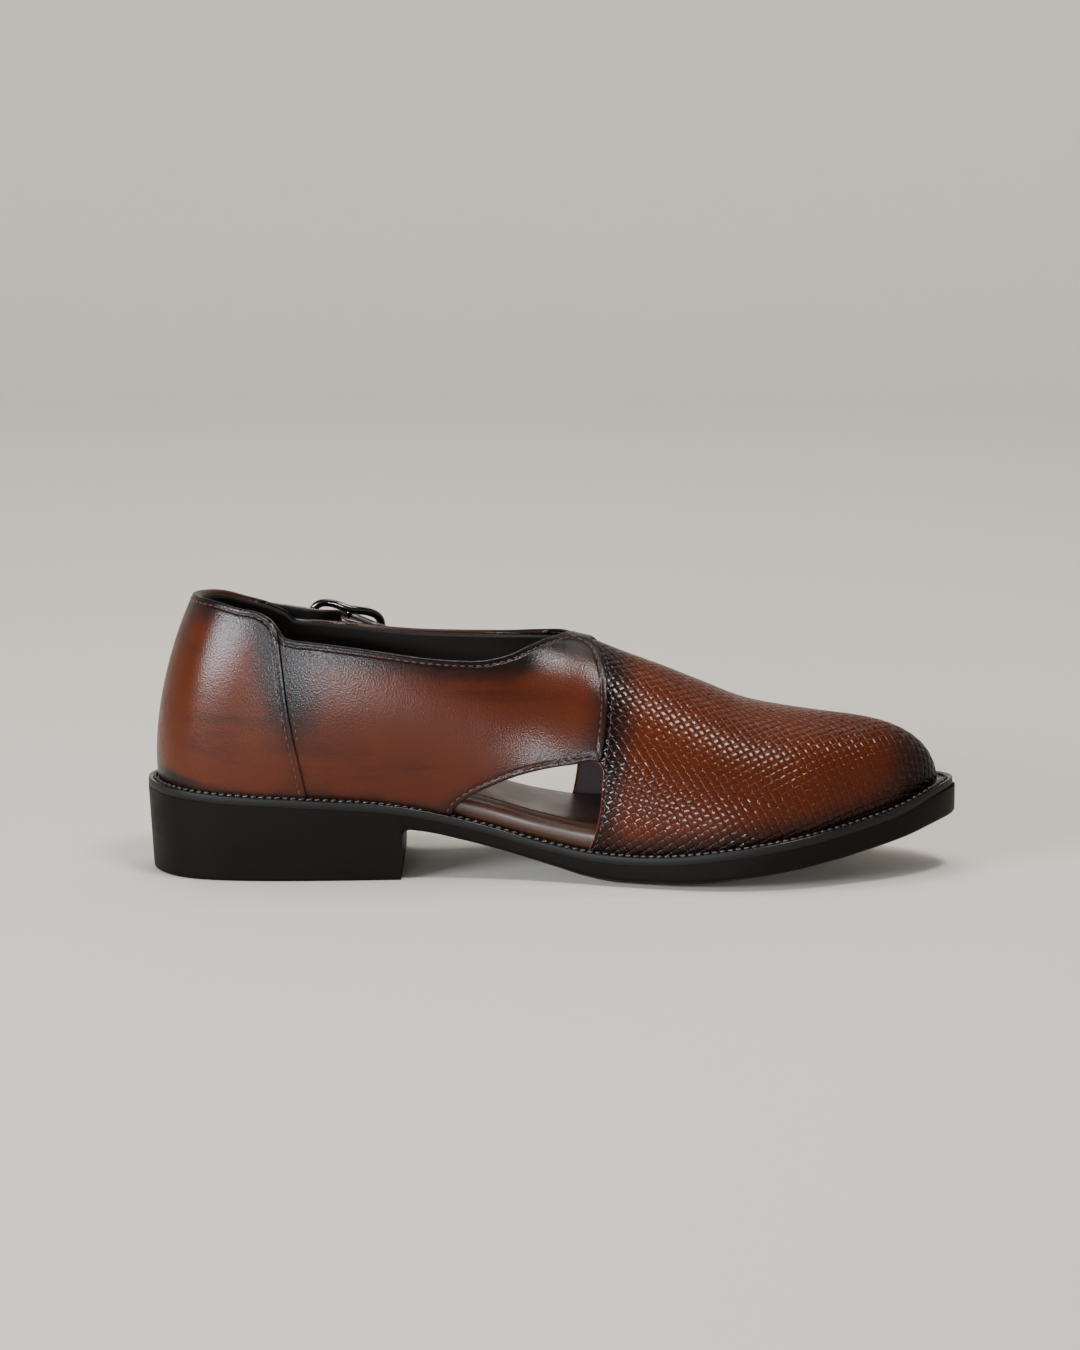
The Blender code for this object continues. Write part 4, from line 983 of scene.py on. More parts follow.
def where_on(corners):
    """The distances, in millimetres, from each corner of a net to the edges that may matter."""
    c, t = corners[:, 0], corners[:, 1]
    place = read(PLACES, c, t)
    keys = {"collar": BELOW_COLLAR, "front": BEHIND_SEAM, "counter": IN_COUNTER, "window": OFF_WINDOW}
    known = {key: read(field, c, t) / MM for key, field in keys.items()}
    known["foot"] = (place[:, 2] - welt_top(place[:, 0])) / MM
    known["x"], known["y"], known["z"] = (place / MM).T
    return known


print("burnish 3 mm from an edge: %.2f" % near(3.0, 7.0))


# %% [markdown]
# The smooth panels differ only in their outlines. Each has a folded edge and runs on under the panel
# that lies over it, by the lap, and its back is lifted where it lies over another one.

# %% Smooth panels
FOLD = 0.55 * MM
LAP = 8 * MM
BACK = 1.0 * MM
TOPLINE_ROW, SEAM_ROW = 2.0, 2.2
COUNTER_EDGE = top_line(FOLD)


def by_height(d, low, high):
    """From 0 to 1 between two heights over the welt, in millimetres."""
    share = np.clip((d["foot"] - low) / (high - low), 0, 1)
    return share * share * (3 - 2 * share)


def topline_burnish(d):
    """Black along the near topline, and only brown along the far one."""
    return (0.95 - 0.55 * np.clip((d["y"] + 2) / 8, 0, 1)) * near(d["collar"], 7.0, 1.4)


def panel(name, spans, keep, outer, inner, burnish, seams):
    """Builds one smooth panel of the upper, with a coarser back, and what its material needs."""
    c_from, c_to, columns, rows = spans
    face = trim(*net(c_from, c_to, columns, rows, COUNTER_EDGE), keep)
    back = trim(*net(c_from, c_to, columns // 4, rows // 4, COUNTER_EDGE), keep)
    points, faces, source = shell(face, back, level(outer), inner, FOLD)
    d = where_on(face[0])
    values = {"burnish": burnish(d)[source], "seam": seams(d)[source]}
    return mesh_piece(name, points, faces, "upper", SMOOTH_LEATHER, values)


def over(field, lifted):
    """The height of a panel's back: lifted where another panel lies under it, by the seam."""
    def height(corners):
        share = np.clip((read(field, corners[:, 0], corners[:, 1]) / MM - 8.5) / 1.5, 0, 1)
        return lifted + (BACK - lifted) * share
    return height


def level(height):
    return lambda corners: np.full(len(corners), height)


print("a folded edge is %.2f mm round" % (FOLD / MM))

# %% [markdown]
# The counter is the leather cup round the heel. It lies on the quarters, so its back is lifted over
# them near the seam, and its edge stands up by its own thickness. A bevelled copy of the solid
# would keep the solid's facets. A net that is trimmed on the last has one clean edge, and the
# distances that trimmed it also say where the leather is burnished and where the thread pulls.

# %% Heel counter
def keep_counter(c, t):
    return read(IN_COUNTER, c, t) - FOLD


def counter_burnish(d):
    smudge = np.exp(-(((d["x"] - 9) / 11) ** 2 + ((d["foot"] - 4.0 - 0.10 * (9 - d["x"])) / 2.6) ** 2))
    seam = near(d["counter"], 8.5, 1.6) * (0.25 + 0.75 * by_height(d, 12, 40))
    rear = 0.8 * near(d["x"] - 2, 12.0, 2.0) * by_height(d, 28, 62)
    return darkest(topline_burnish(d), seam, 0.85 * near(d["foot"], 2.4, 1.3), smudge, rear)


def counter_seams(d):
    return np.minimum(np.abs(d["collar"] - TOPLINE_ROW), np.abs(d["counter"] - SEAM_ROW))


panel("counter", (-0.335, 0.335, 200, 88), keep_counter, COUNTER, over(IN_COUNTER, QUARTER + 0.05 * MM),
      counter_burnish, counter_seams)

# %% [markdown]
# Each quarter runs from under the counter to the vamp, over which its front edge is folded. Below,
# it is cut away over the waist. It could be one panel that is mirrored, but the two sides of a foot
# differ, so one function builds each side from its own outlines.

# %% Quarters
def keep_quarter(c, t):
    behind = read(BEHIND_SEAM, c, t) - FOLD
    clear = read(OFF_WINDOW, c, t) - FOLD
    return np.minimum(np.minimum(behind, clear), LAP - read(IN_COUNTER, c, t))


def quarter_burnish(d):
    throat = 0.7 * np.exp(-(((d["x"] - 139) / 14) ** 2 + ((d["collar"] - 3) / 5) ** 2))
    seam = near(-d["counter"], 11.0, 1.6) * (0.2 + 0.8 * by_height(d, 14, 42))
    return darkest(topline_burnish(d), seam, 0.75 * near(d["front"], 6.0, 1.3),
                   0.7 * near(d["window"], 4.5, 1.3), 0.8 * near(d["foot"], 3.0, 1.3), throat)


def quarter_seams(d):
    edges = np.minimum(np.abs(d["collar"] - TOPLINE_ROW), np.abs(d["front"] - SEAM_ROW))
    return np.minimum(edges, np.abs(d["window"] - TOPLINE_ROW))


for side, spans in (("medial", (0.20, 0.565, 190, 96)), ("lateral", (1.435, 1.80, 190, 96))):
    panel("quarter_" + side, spans, keep_quarter, QUARTER, over(BEHIND_SEAM, VAMP + 0.3 * MM),
          quarter_burnish, quarter_seams)

# %% [markdown]
# The vamp is embossed before it is lasted: a flat hide with a basket weave pressed into it is
# pulled over the form. So the weave belongs to the flat pattern. We let Blender unwrap a coarse
# vamp with the least stretch, as a pattern maker would flatten it, turn the result so that its rows
# follow the ridge, and read every fine point's place on the flat hide from it.

# %% The vamp's flat hide
VAMP_FROM = 0.495


def flat_pattern():
    """The place on the flat hide, in metres, over a coarse grid of c and t."""
    columns, rows = 160, 44
    corners, tris = net(VAMP_FROM, 2 - VAMP_FROM, columns, rows, zipped=True)
    points = read(PLACES, corners[:, 0], corners[:, 1])
    used, compact = np.unique(tris, return_inverse=True)
    mesh = bpy.data.meshes.new("flat_vamp")
    mesh.from_pydata(points[used], [], compact.reshape(-1, 3).tolist())
    sheet = bpy.data.objects.new("flat_vamp", mesh)
    bpy.context.scene.collection.objects.link(sheet)
    bpy.context.view_layer.objects.active = sheet
    sheet.select_set(True)
    mesh.uv_layers.new(name="flat")
    bpy.ops.object.mode_set(mode="EDIT")
    bpy.ops.mesh.select_all(action="SELECT")
    bpy.ops.uv.unwrap(method="MINIMUM_STRETCH", iterations=60, margin=0.0)
    bpy.ops.object.mode_set(mode="OBJECT")
    flat = np.empty(len(mesh.loops) * 2, np.float32)
    mesh.uv_layers["flat"].uv.foreach_get("vector", flat)
    who = np.empty(len(mesh.loops), np.int32)
    mesh.loops.foreach_get("vertex_index", who)
    places = np.zeros((len(corners), 2))
    places[used[who]] = flat.reshape(-1, 2)
    bpy.data.objects.remove(sheet)
    last_row = np.arange(len(corners)).reshape(rows + 1, columns + 1)[-1]
    places[last_row] = places[np.minimum(last_row, last_row[::-1])]
    a, b, d = (points[tris[:, k]] for k in range(3))
    real = np.linalg.norm(np.cross(b - a, d - a), axis=1).sum()
    a, b, d = (places[tris[:, k]] for k in range(3))
    shown = (b - a)[:, 0] * (d - a)[:, 1] - (b - a)[:, 1] * (d - a)[:, 0]
    places *= math.sqrt(real / abs(shown.sum()))
    ridge = places[last_row[: columns // 2 + 1]]
    along = ridge[-1] - ridge[0]
    along /= np.linalg.norm(along)
    places = np.stack([places @ along, places @ np.array([-along[1], along[0]])], axis=1)
    print("flat hide: %.0f x %.0f mm" % tuple(np.ptp(places, axis=0) * 1e3))
    return places.reshape(rows + 1, columns + 1, 2)


FLAT = flat_pattern()


def on_hide(corners):
    """Where the corners of a net lie on the flat hide."""
    rows, columns = FLAT.shape[0] - 1, FLAT.shape[1] - 1
    u = np.clip((corners[:, 0] - VAMP_FROM) / (2 - 2 * VAMP_FROM), 0, 1) * columns
    v = np.clip(corners[:, 1], 0, 1) * rows
    i, j = np.minimum(u.astype(int), columns - 1), np.minimum(v.astype(int), rows - 1)
    u, v = (u - i)[:, None], (v - j)[:, None]
    low = FLAT[j, i] * (1 - u) + FLAT[j, i + 1] * u
    high = FLAT[j + 1, i] * (1 - u) + FLAT[j + 1, i + 1] * u
    return low * (1 - v) + high * v


# %% [markdown]
# Each strip of the weave is a flat pillow that rises over one neighbour and dives under the next.
# A picture of a weave would look flat in low light, so the mesh carries the pillows themselves. The
# material follows the same formula with steeper sides, to sharpen the strips, and paints shade into
# the gaps between them and at the ends where they dive.

# %% Weave and its finish
STRIP = 2.7 * MM
PILLOW_HIGH = 0.22 * MM


def pillow(places):
    """Height of the weave from 0 to 1, on the diagonals of the flat hide."""
    a = (places[:, 0] + places[:, 1]) / math.sqrt(2) / STRIP
    b = (places[:, 0] - places[:, 1]) / math.sqrt(2) / STRIP
    x, y = a - np.floor(a) - 0.5, b - np.floor(b) - 0.5
    swap = np.mod(np.floor(a) + np.floor(b), 2) > 0.5
    x, y = np.where(swap, y, x), np.where(swap, x, y)
    return (1 - (np.abs(x) / 0.66) ** 3) * (1 - np.abs(2 * y) ** 8)


def woven_leather():
    f = Finish("woven_leather", coat=0.26, coat_roughness=0.12, shine=0.05)
    flat = f.node("ShaderNodeSeparateXYZ", {"Vector": f.vector("hide")})
    u, v = (f.math("MULTIPLY", flat.outputs[k], 1 / math.sqrt(2) / STRIP) for k in (0, 1))
    a, b = f.math("ADD", u, v), f.math("SUBTRACT", u, v)
    cell_a, cell_b = f.math("FLOOR", a), f.math("FLOOR", b)
    swap = f.math("ABSOLUTE", f.math("MODULO", f.math("ADD", cell_a, cell_b), 2.0))
    x, y = (f.math("ABSOLUTE", f.math("SUBTRACT", f.math("SUBTRACT", k, n), 0.5))
            for k, n in ((a, cell_a), (b, cell_b)))
    long = f.math("ADD", x, f.math("MULTIPLY", swap, f.math("SUBTRACT", y, x)))
    wide = f.math("ADD", y, f.math("MULTIPLY", swap, f.math("SUBTRACT", x, y)))
    arch = f.math("SUBTRACT", 1.0, f.math("POWER", f.math("DIVIDE", long, 0.64), 3.4))
    edge = f.math("SUBTRACT", 1.0, f.math("POWER", f.math("MULTIPLY", wide, 2.0), 11.0))
    high = f.math("MULTIPLY", arch, f.math("ADD", 0.5, f.math("MULTIPLY", edge, 0.5)))
    place = f.node("ShaderNodeCombineXYZ", {0: cell_a, 1: cell_b}).outputs[0]
    each = f.node("ShaderNodeTexWhiteNoise", {"Vector": place}, noise_dimensions="3D").outputs["Value"]
    colour = f.mix(f.span(f.noise(14.0, 3.0, 0.5), 0.3, 0.7), srgb(80, 30, 8), srgb(62, 22, 7))
    colour = f.mix(f.math("MULTIPLY", each, 0.3), colour, srgb(60, 23, 8))
    colour = burnished(f, colour, 110.0, 0.3)
    # Painted shade: the gaps between the strips and the ends where they dive are darkened.
    colour = f.mix(f.span(f.math("MULTIPLY", arch, edge), 0.1, 0.65, 0.85, 0.0), colour, srgb(24, 9, 6))
    colour = f.mix(f.span(f.value("raw"), 0.35, 0.65), colour, srgb(140, 62, 28))
    fibres = f.noise(1500.0, 3.0, 0.6)
    normal = f.bump(fibres, 0.00002, 0.5, f.bump(high, 0.00030, 1.0))
    return f.done(colour, f.span(f.noise(300.0), 0.3, 0.7, 0.24, 0.34), normal, normal)


WOVEN = woven_leather()


print("finish:", WOVEN.name)


# %% [markdown]
# The vamp closes over the toe in one piece, so its net is zipped along the ridge. Its rear edge is
# cut raw at the cut-outs, where the rim shows the bare brown of the hide. Near the quarters' seam
# the weave fades out, so that the quarters lie flat on it.

# %% Woven vamp
def keep_vamp(c, t):
    under = LAP - read(BEHIND_SEAM, c, t)
    clear = np.minimum(read(OFF_WINDOW, c, t), read(BELOW_COLLAR, c, t))
    return np.minimum(under, clear - 0.3 * MM)


def vamp_burnish(d):
    toe = 1 / (1 + np.exp(-(d["x"] - 277) / 5.0))
    sides = 0.85 * near(d["foot"], 6.5, 1.4)
    return darkest(0.9 * near(-d["front"], 8.5, 1.5), sides, toe, 0.85 * near(d["collar"], 5.0),
                   0.75 * near(d["window"], 5.0))


def make_vamp():
    face = trim(*net(VAMP_FROM, 2 - VAMP_FROM, 640, 138, zipped=True), keep_vamp)
    back = trim(*net(VAMP_FROM, 2 - VAMP_FROM, 160, 40, zipped=True), keep_vamp)

    def outer(corners):
        relief = pillow(on_hide(corners)) * PILLOW_HIGH
        flatter = np.clip(read(BEHIND_SEAM, corners[:, 0], corners[:, 1]) / MM + 0.5, 0, 1)
        return VAMP - 0.15 * MM + relief * (1 - flatter)

    points, faces, source = shell(face, back, outer, level(0.9 * MM), 0.3 * MM, arc=2)
    d = where_on(face[0])
    raw = np.zeros(len(points))
    count = len(face[0]) + len(back[0])
    raw[count:] = (near(d["window"] - 0.3, 1.0) > 0.5)[source[count:]]
    hide = on_hide(face[0])[source]
    values = {"burnish": vamp_burnish(d)[source], "raw": raw,
              "hide": np.column_stack([hide, np.zeros(len(hide))])}
    return mesh_piece("vamp", points, faces, "upper", WOVEN, values)


make_vamp()

# %% [markdown]
# Inside, a dark lining covers the whole last. It stops just short of the topline and the cut-outs.
# It could be the inner face of the panels, but as a shell of its own it runs through under all of
# their seams, as a real lining does, and has its own finish.

# %% Lining
LINING_SHORT = 0.7 * MM


def keep_lining(c, t):
    return read(OFF_WINDOW, c, t) - LINING_SHORT


def make_lining():
    face = trim(*net(0, 2, 500, 48, top_line(LINING_SHORT), zipped=True, closed=True), keep_lining)
    points, faces, _ = shell(face, face, level(0.9 * MM), level(0.05 * MM), 0.25 * MM, arc=2)
    return mesh_piece("lining", points, faces, "upper", LINING)


make_lining()

# %% [markdown]
# Sole, welt and footbed are plates whose edge follows the same outline. A bevel on the solids would
# round all of their edges alike. So each plate is a stack of rings from the bottom up, closed by
# strips across its two flat faces, and every edge gets its own round.

# %% Plates
def slab(name, rings, lid_rows, node, material):
    """A closed plate from rings, whose two flat faces are strips from one side to the other."""
    rings = np.asarray(rings)
    count, half = rings.shape[1], rings.shape[1] // 2
    points = [rings.reshape(-1, 3)]
    size = rings.shape[0] * count
    faces = []
    for r in range(len(rings) - 1):
        k = np.arange(count)
        n = (k + 1) % count
        low, high = r * count, (r + 1) * count
        faces += np.stack([low + k, low + n, high + n, high + k], axis=1).tolist()
    for r, flip in ((0, True), (len(rings) - 1, False)):
        ring = rings[r]
        rows = []
        for i in range(half + 1):
            start, end = r * count + i, r * count + (count - i) % count
            if i in (0, half):
                rows.append([start] * (lid_rows + 1))
                continue
            share = np.linspace(0, 1, lid_rows + 1)[1:-1, None]
            points.append(ring[i] * (1 - share) + ring[count - i] * share)
            rows.append([start, *range(size, size + lid_rows - 1), end])
            size += lid_rows - 1
        for a, b in zip(rows, rows[1:]):
            for j in range(lid_rows):
                corners = [a[j], b[j], b[j + 1], a[j + 1]]
                face = [v for n, v in enumerate(corners) if v not in corners[:n]]
                faces.append(face[::-1] if flip else face)
    points = np.vstack(points)
    corners = [points[f[:3]] for f in faces[-40:]]
    if sum(np.cross(b - a, d - a)[2] for a, b, d in corners) < 0:
        faces = [f[::-1] for f in faces]
    return mesh_piece(name, points, faces, node, material)


def ring_at(distance, height, xs):
    loop = edge_loop(inset_sides(distance), xs)
    heights = height(loop[:, 0]) if callable(height) else height
    return np.column_stack([loop, np.broadcast_to(heights, len(loop))])


print("outline at 4 places:", len(edge_loop(SIDES, stations(4))), "corners")


# %% [markdown]
# The lower parts have quiet finishes: a dull brown-black rubber, a waxed black welt that shines on
# its top only, and a plain brown leather. The welt's roughness depends on which way a face looks.

# %% Rubber, welt and footbed leather
def black_rubber():
    f = Finish("sole_rubber", shine=0.08)
    colour = f.mix(f.noise(30.0), srgb(10, 7, 6), srgb(17, 12, 9))
    normal = f.bump(f.noise(900.0, 3.0, 0.6), 0.00003, 0.5)
    return f.done(colour, f.span(f.noise(60.0, 4.0), 0.3, 0.7, 0.46, 0.60), normal)


def welt_black():
    f = Finish("welt_leather", shine=0.25)
    colour = f.mix(f.noise(80.0), srgb(7, 6, 6), srgb(12, 10, 10))
    facing = f.node("ShaderNodeSeparateXYZ", {"Vector": f.node("ShaderNodeNewGeometry").outputs["Normal"]})
    normal = f.bump(f.noise(500.0, 3.0, 0.6), 0.00006, 0.6)
    return f.done(colour, f.span(facing.outputs[2], 0.2, 0.7, 0.55, 0.2), normal)


def footbed_leather():
    f = Finish("footbed_leather", roughness=0.4, coat=0.2, coat_roughness=0.25)
    colour = f.mix(f.noise(24.0, 4.0), srgb(68, 36, 19), srgb(46, 23, 13))
    normal = f.bump(f.noise(700.0, 4.0, 0.6), 0.00006, 0.6)
    return f.done(colour, f.span(f.noise(40.0), 0.3, 0.7, 0.34, 0.48), normal)


RUBBER, WELT_BLACK, FOOTBED_BROWN = black_rubber(), welt_black(), footbed_leather()
print("finishes:", RUBBER.name, WELT_BLACK.name, FOOTBED_BROWN.name)

# %% [markdown]
# The sole is moulded in one with its heel. Its sides stand upright, taper a little to the floor at
# the heel, and turn into the underside round a small edge. Where the arch meets the front of the
# heel there is a small round, and under the toe it is 2 mm deeper than the solid, as in the photo.

# %% Sole
ARCH_ROUND = 3.0 * MM
TOE_DEEPER = 2.0 * MM
TOE_RISE = 1.5 * MM


def toe_share(x, low, high):
    """From 0 to 1 between two shares of the sole's length, with soft ends."""
    share = np.clip((x / SOLE_LENGTH - low) / (high - low), 0, 1)
    return share * share * (3 - 2 * share)


def rim_top(x):
    """The welt's top, a little raised round the tip as in the photo."""
    return welt_top(x) + TOE_RISE * toe_share(x, 0.90, 0.995)


def make_sole():
    xs = stations(230, (HEEL_LENGTH - 0.0002, HEEL_LENGTH + 0.0004, HEEL_LENGTH + 0.0030))
    xs = np.unique(np.round([*xs, *(HEEL_LENGTH + np.array([0.8, 1.3, 1.9, 2.6, 3.4]) * MM)], 6))

    def bottom(x):
        """The underside, with a small round where the arch meets the front of the heel."""
        away = np.clip(x - HEEL_LENGTH - 0.4 * MM, 0, ARCH_ROUND)
        dip = ARCH_ROUND - np.sqrt(ARCH_ROUND**2 - (ARCH_ROUND - away) ** 2)
        deeper = TOE_DEEPER * toe_share(x, 0.66, 0.80)
        return underside(x) - np.where(x > HEEL_LENGTH + 0.3 * MM, dip, 0) - deeper

    def heel(x):
        """How far the heel's sides lean in, most at its foot."""
        fade = np.clip(1 - (x - HEEL_LENGTH - 1.0 * MM) / (30 * MM), 0, 1)
        return HEEL_TAPER * fade * (1 - np.clip(bottom(x), 0, 1) / welt_top(x))

    def under_welt(gap):
        return lambda x: rim_top(x) - WELT_THICKNESS - gap

    rings = [ring_at(lambda x: 9 * SOLE_EDGE_BEVEL + heel(x), bottom, xs)]
    rings.append(ring_at(lambda x: 3.2 * SOLE_EDGE_BEVEL + heel(x),
                         lambda x: bottom(x) + 0.45 * crown(x), xs))
    for angle in np.radians([0, 22, 45, 68, 90]):
        inset = SOLE_EDGE_BEVEL * (1 - math.sin(angle))
        rise = SOLE_EDGE_BEVEL * (1 - math.cos(angle))
        rings.append(ring_at(lambda x: inset + 0.97 * heel(x), lambda x: bottom(x) + crown(x) + rise, xs))
    for inset, gap in ((0.0, 0.12), (0.08, 0.04), (14.0, 0.04)):
        rings.append(ring_at(inset * MM, under_welt(gap * MM), xs))
    sole = slab("sole_unit", rings, 8, "sole", RUBBER)
    sole.data.set_sharp_from_angle(angle=math.radians(40))
    return sole


make_sole()

# %% [markdown]
# The welt is a strip of black leather that stands out all round the upper and rises a little round
# the tip. Its top is waxed, and a shallow groove takes the stitches. The groove is two lower rings
# of the plate, which costs less than cutting one with a modifier.

# %% Welt
WELT_ROUND = 0.5 * MM


def setback(x):
    """How far the welt's edge stays inside the sole's, a little more round the toe."""
    toe = np.clip((x / SOLE_LENGTH - 0.93) / 0.07, 0, 1)
    return 0.06 * MM + 0.9 * MM * toe**2


def make_welt():
    xs = stations(230)
    rings = [ring_at(lambda x: setback(x) + 0.06 * MM, lambda x: rim_top(x) - WELT_THICKNESS, xs)]
    rings.append(ring_at(setback, lambda x: rim_top(x) - WELT_THICKNESS + 0.08 * MM, xs))
    for angle in np.radians([0, 30, 60, 90]):
        inset = WELT_ROUND * (1 - math.cos(angle))
        drop = WELT_ROUND * (1 - math.sin(angle))
        rings.append(ring_at(lambda x: setback(x) + inset, lambda x: rim_top(x) - drop, xs))
    for inset, drop in ((1.5, 0.0), (1.8, 0.3), (3.2, 0.3), (3.5, 0.0), (12.0, 0.0)):
        rings.append(ring_at(lambda x: setback(x) + inset * MM, lambda x: rim_top(x) - drop * MM, xs))
    return slab("welt_strip", rings, 6, "welt", WELT_BLACK)


make_welt()

# %% [markdown]
# The footbed is a board with a pad, wrapped in leather. Its rim is rolled, and a thin sock of
# leather lies on top, a little smaller. It is seen only through the opening and the cut-outs, so
# rings at each height of the roll are fine enough.

# %% Footbed
CLEAR = 0.3 * MM


def make_footbed():
    xs = stations(200)

    def edge(inset):
        def reach(x):
            ease = np.clip((x / SOLE_LENGTH - 0.85) / 0.1, 0, 1) * FOOTBED_TOE_EASE
            return along_sole(MARGIN, x) + CLEAR + ease + inset
        return reach

    top = FOOTBED_RISE + CLEAR
    roll = 3.4 * MM
    rings = [ring_at(edge(0.6 * MM), lambda x: welt_top(x) + 0.05 * MM, xs)]
    rings.append(ring_at(edge(0.0), lambda x: welt_top(x) + 1.2 * MM, xs))
    for angle in np.radians([0, 20, 40, 60, 80]):
        inset, drop = roll * (1 - math.cos(angle)), roll * (1 - math.sin(angle))
        rings.append(ring_at(edge(inset), lambda x: welt_top(x) + top - 0.5 * MM - drop, xs))
    rings.append(ring_at(edge(roll + 0.4 * MM), lambda x: welt_top(x) + top - 0.5 * MM, xs))
    rings.append(ring_at(edge(roll + 0.5 * MM), lambda x: welt_top(x) + top, xs))
    return slab("footbed_wrapped", rings, 8, "footbed", FOOTBED_BROWN)


make_footbed()

# %% [markdown]
# The strap starts on the counter, on the lateral side, and rides over the bar of the buckle. A place on
# it is (s, w, h): s forward from the bar, w up across the strap and h out from the quarter. To turn
# that into a point we look for the spot on the quarter that is seen there from the side.

# %% Places on the strap
def on_quarter(x, z):
    """Points on the lateral quarter at the given x and z of the side view, and the ways out."""
    c, t = np.meshgrid(np.linspace(1.2, 1.9, 141), np.linspace(0.2, 1, 81))
    c, t = c.ravel(), t.ravel()
    known = read(PLACES, c, t) + read(NORMALS, c, t) * QUARTER
    best = [int(np.argmin((known[:, 0] - a) ** 2 + (known[:, 2] - b) ** 2)) for a, b in zip(x, z)]
    c, t = c[best], t[best]

    def seen(c, t):
        return read(PLACES, c, t) + read(NORMALS, c, t) * QUARTER

    for _ in range(5):
        here = seen(c, t)
        right, up = (seen(c + 0.002, t) - here) / 0.002, (seen(c, t - 0.004) - here) / -0.004
        miss_x, miss_z = x - here[:, 0], z - here[:, 2]
        area = right[:, 0] * up[:, 2] - right[:, 2] * up[:, 0]
        c = c + (miss_x * up[:, 2] - miss_z * up[:, 0]) / area
        t = np.clip(t + (right[:, 0] * miss_z - right[:, 2] * miss_x) / area, 0.01, 1)
    return seen(c, t), read(NORMALS, c, t)


def strap_line(x):
    rows = [(at * SOLE_LENGTH, share * BACK_HEIGHT) for at, share in STRAP_LINE]
    return smooth(*zip(*rows), x)


def on_strap(s, w, h):
    """Points at (s, w, h), and the ways out there."""
    s, w, h = np.broadcast_arrays(*(np.asarray(v, float) for v in (s, w, h)))
    x = BUCKLE_X + s.ravel()
    slope = (strap_line(x + 0.001) - strap_line(x - 0.001)) / 0.002
    stretch = np.hypot(1, slope)
    points, ways = on_quarter(x - w.ravel() * slope / stretch, strap_line(x) + w.ravel() / stretch)
    points = points + ways * h.ravel()[:, None]
    return points.reshape(*s.shape, 3), ways.reshape(*s.shape, 3)


BAR_RIDE = 4 * CLEAR + 2 * TAB_LAYER + CENTRE_BAR


def strap_ride(s):
    rows = [(at * BUCKLE_LENGTH, share * BAR_RIDE) for at, share in STRAP_RIDE]
    return smooth(*zip(*rows), s)


print("the strap rides %.1f mm over the quarter at the bar" % (strap_ride(0) * 1e3))


# %% [markdown]
# Strap, tab and buckle are all rounded bars or bands. Each is a stack of equal rings that is closed
# into one skin. A bevelled curve could make the bars, but not a band that lies on the quarter.

# %% Bands
def loft(rings, capped=True):
    """Closes a stack of equal rings into one skin."""
    rings = np.asarray(rings)
    count, size = len(rings), rings.shape[1]
    k = np.arange(size)
    n = (k + 1) % size
    steps = range(count - 1) if capped else range(count)
    faces = []
    for r in steps:
        a, b = r * size, (r + 1) % count * size
        faces += np.stack([a + k, a + n, b + n, b + k], axis=1).tolist()
    if capped:
        faces += [k[::-1].tolist(), (k + (count - 1) * size).tolist()]
    points = rings.reshape(-1, 3)
    middle = points.mean(axis=0)
    first = [points[f[:3]] for f in faces[:: max(len(faces) // 200, 1)]]
    across = sum(np.dot(np.cross(p[1] - p[0], p[2] - p[0]), p[0] - middle) for p in first)
    return points, faces if across > 0 else [f[::-1] for f in faces]


def band(rows, sides=28):
    """A strip of leather with rounded edges from rows of (s, half width, low, high)."""
    s, half, low, high = np.array(rows).T[:, :, None]
    angle = (np.arange(sides) + 0.5) * 2 * math.pi / sides
    across = np.sign(np.cos(angle)) * np.abs(np.cos(angle)) ** 0.35
    rise = np.sign(np.sin(angle)) * np.abs(np.sin(angle)) ** 0.5
    points, _ = on_strap(s + 0 * angle, half * across, (low + high) / 2 + (high - low) / 2 * rise)
    return loft(points)


# %% [markdown]
# The strap's leather is like the quarters', with a finer grain and a softer shine. Its edges and its
# inner side are darker. That could be a second finish, but one value across the band does it. The
# photo doesn't show the strap's holes, and they are left out.

# %% Strap leather
def band_leather():
    f = Finish("strap_leather", roughness=0.34, coat=0.25, coat_roughness=0.2)
    colour = f.mix(f.span(f.noise(30.0, 4.0), 0.35, 0.7), srgb(84, 32, 13), srgb(60, 22, 10))
    colour = burnished(f, colour)
    normal = f.bump(f.noise(900.0, 4.0, 0.6), 0.00004, 0.6)
    return f.done(colour, f.span(f.noise(200.0), 0.3, 0.7, 0.28, 0.4), normal)


BAND_LEATHER = band_leather()


def edge_ink(rows, sides=28):
    """How dark each point of a band is: a little at both edges, and more on its inner side."""
    half = np.array(rows)[:, 1]
    angle = (np.arange(sides) + 0.5) * 2 * math.pi / sides
    across = np.sign(np.cos(angle)) * np.abs(np.cos(angle)) ** 0.35
    w = half[:, None] * across
    ink = np.maximum(0.35 * near((half[:, None] - np.abs(w)) / MM, 1.3), 0.9 * (np.sin(angle) < -0.45))
    return {"burnish": ink.ravel()}


print("finish:", BAND_LEATHER.name)


# %% [markdown]
# The strap ends in a rounded tip. The tab is short and wraps the bar, so its first rows climb round
# it and the next ones come down to the quarter.

# %% Strap and tab
def make_strap():
    half = STRAP_WIDTH / 2
    tip = STRAP_TIP - 1.2 * half
    along = [*np.linspace(STRAP_REAR, tip, 90)]
    rows = [(s, half, strap_ride(s), strap_ride(s) + STRAP_THICKNESS) for s in along]
    for share in np.sin(np.linspace(0.12, 1, 12) * math.pi / 2):
        s = tip + share * (STRAP_TIP - tip)
        wide = half * max(math.sqrt(1 - share**2), 0.05)
        rows.append((s, wide, strap_ride(s), strap_ride(s) + STRAP_THICKNESS))
    points, faces = band(rows)
    return mesh_piece("strap_band", points, faces, "strap", BAND_LEATHER, edge_ink(rows))


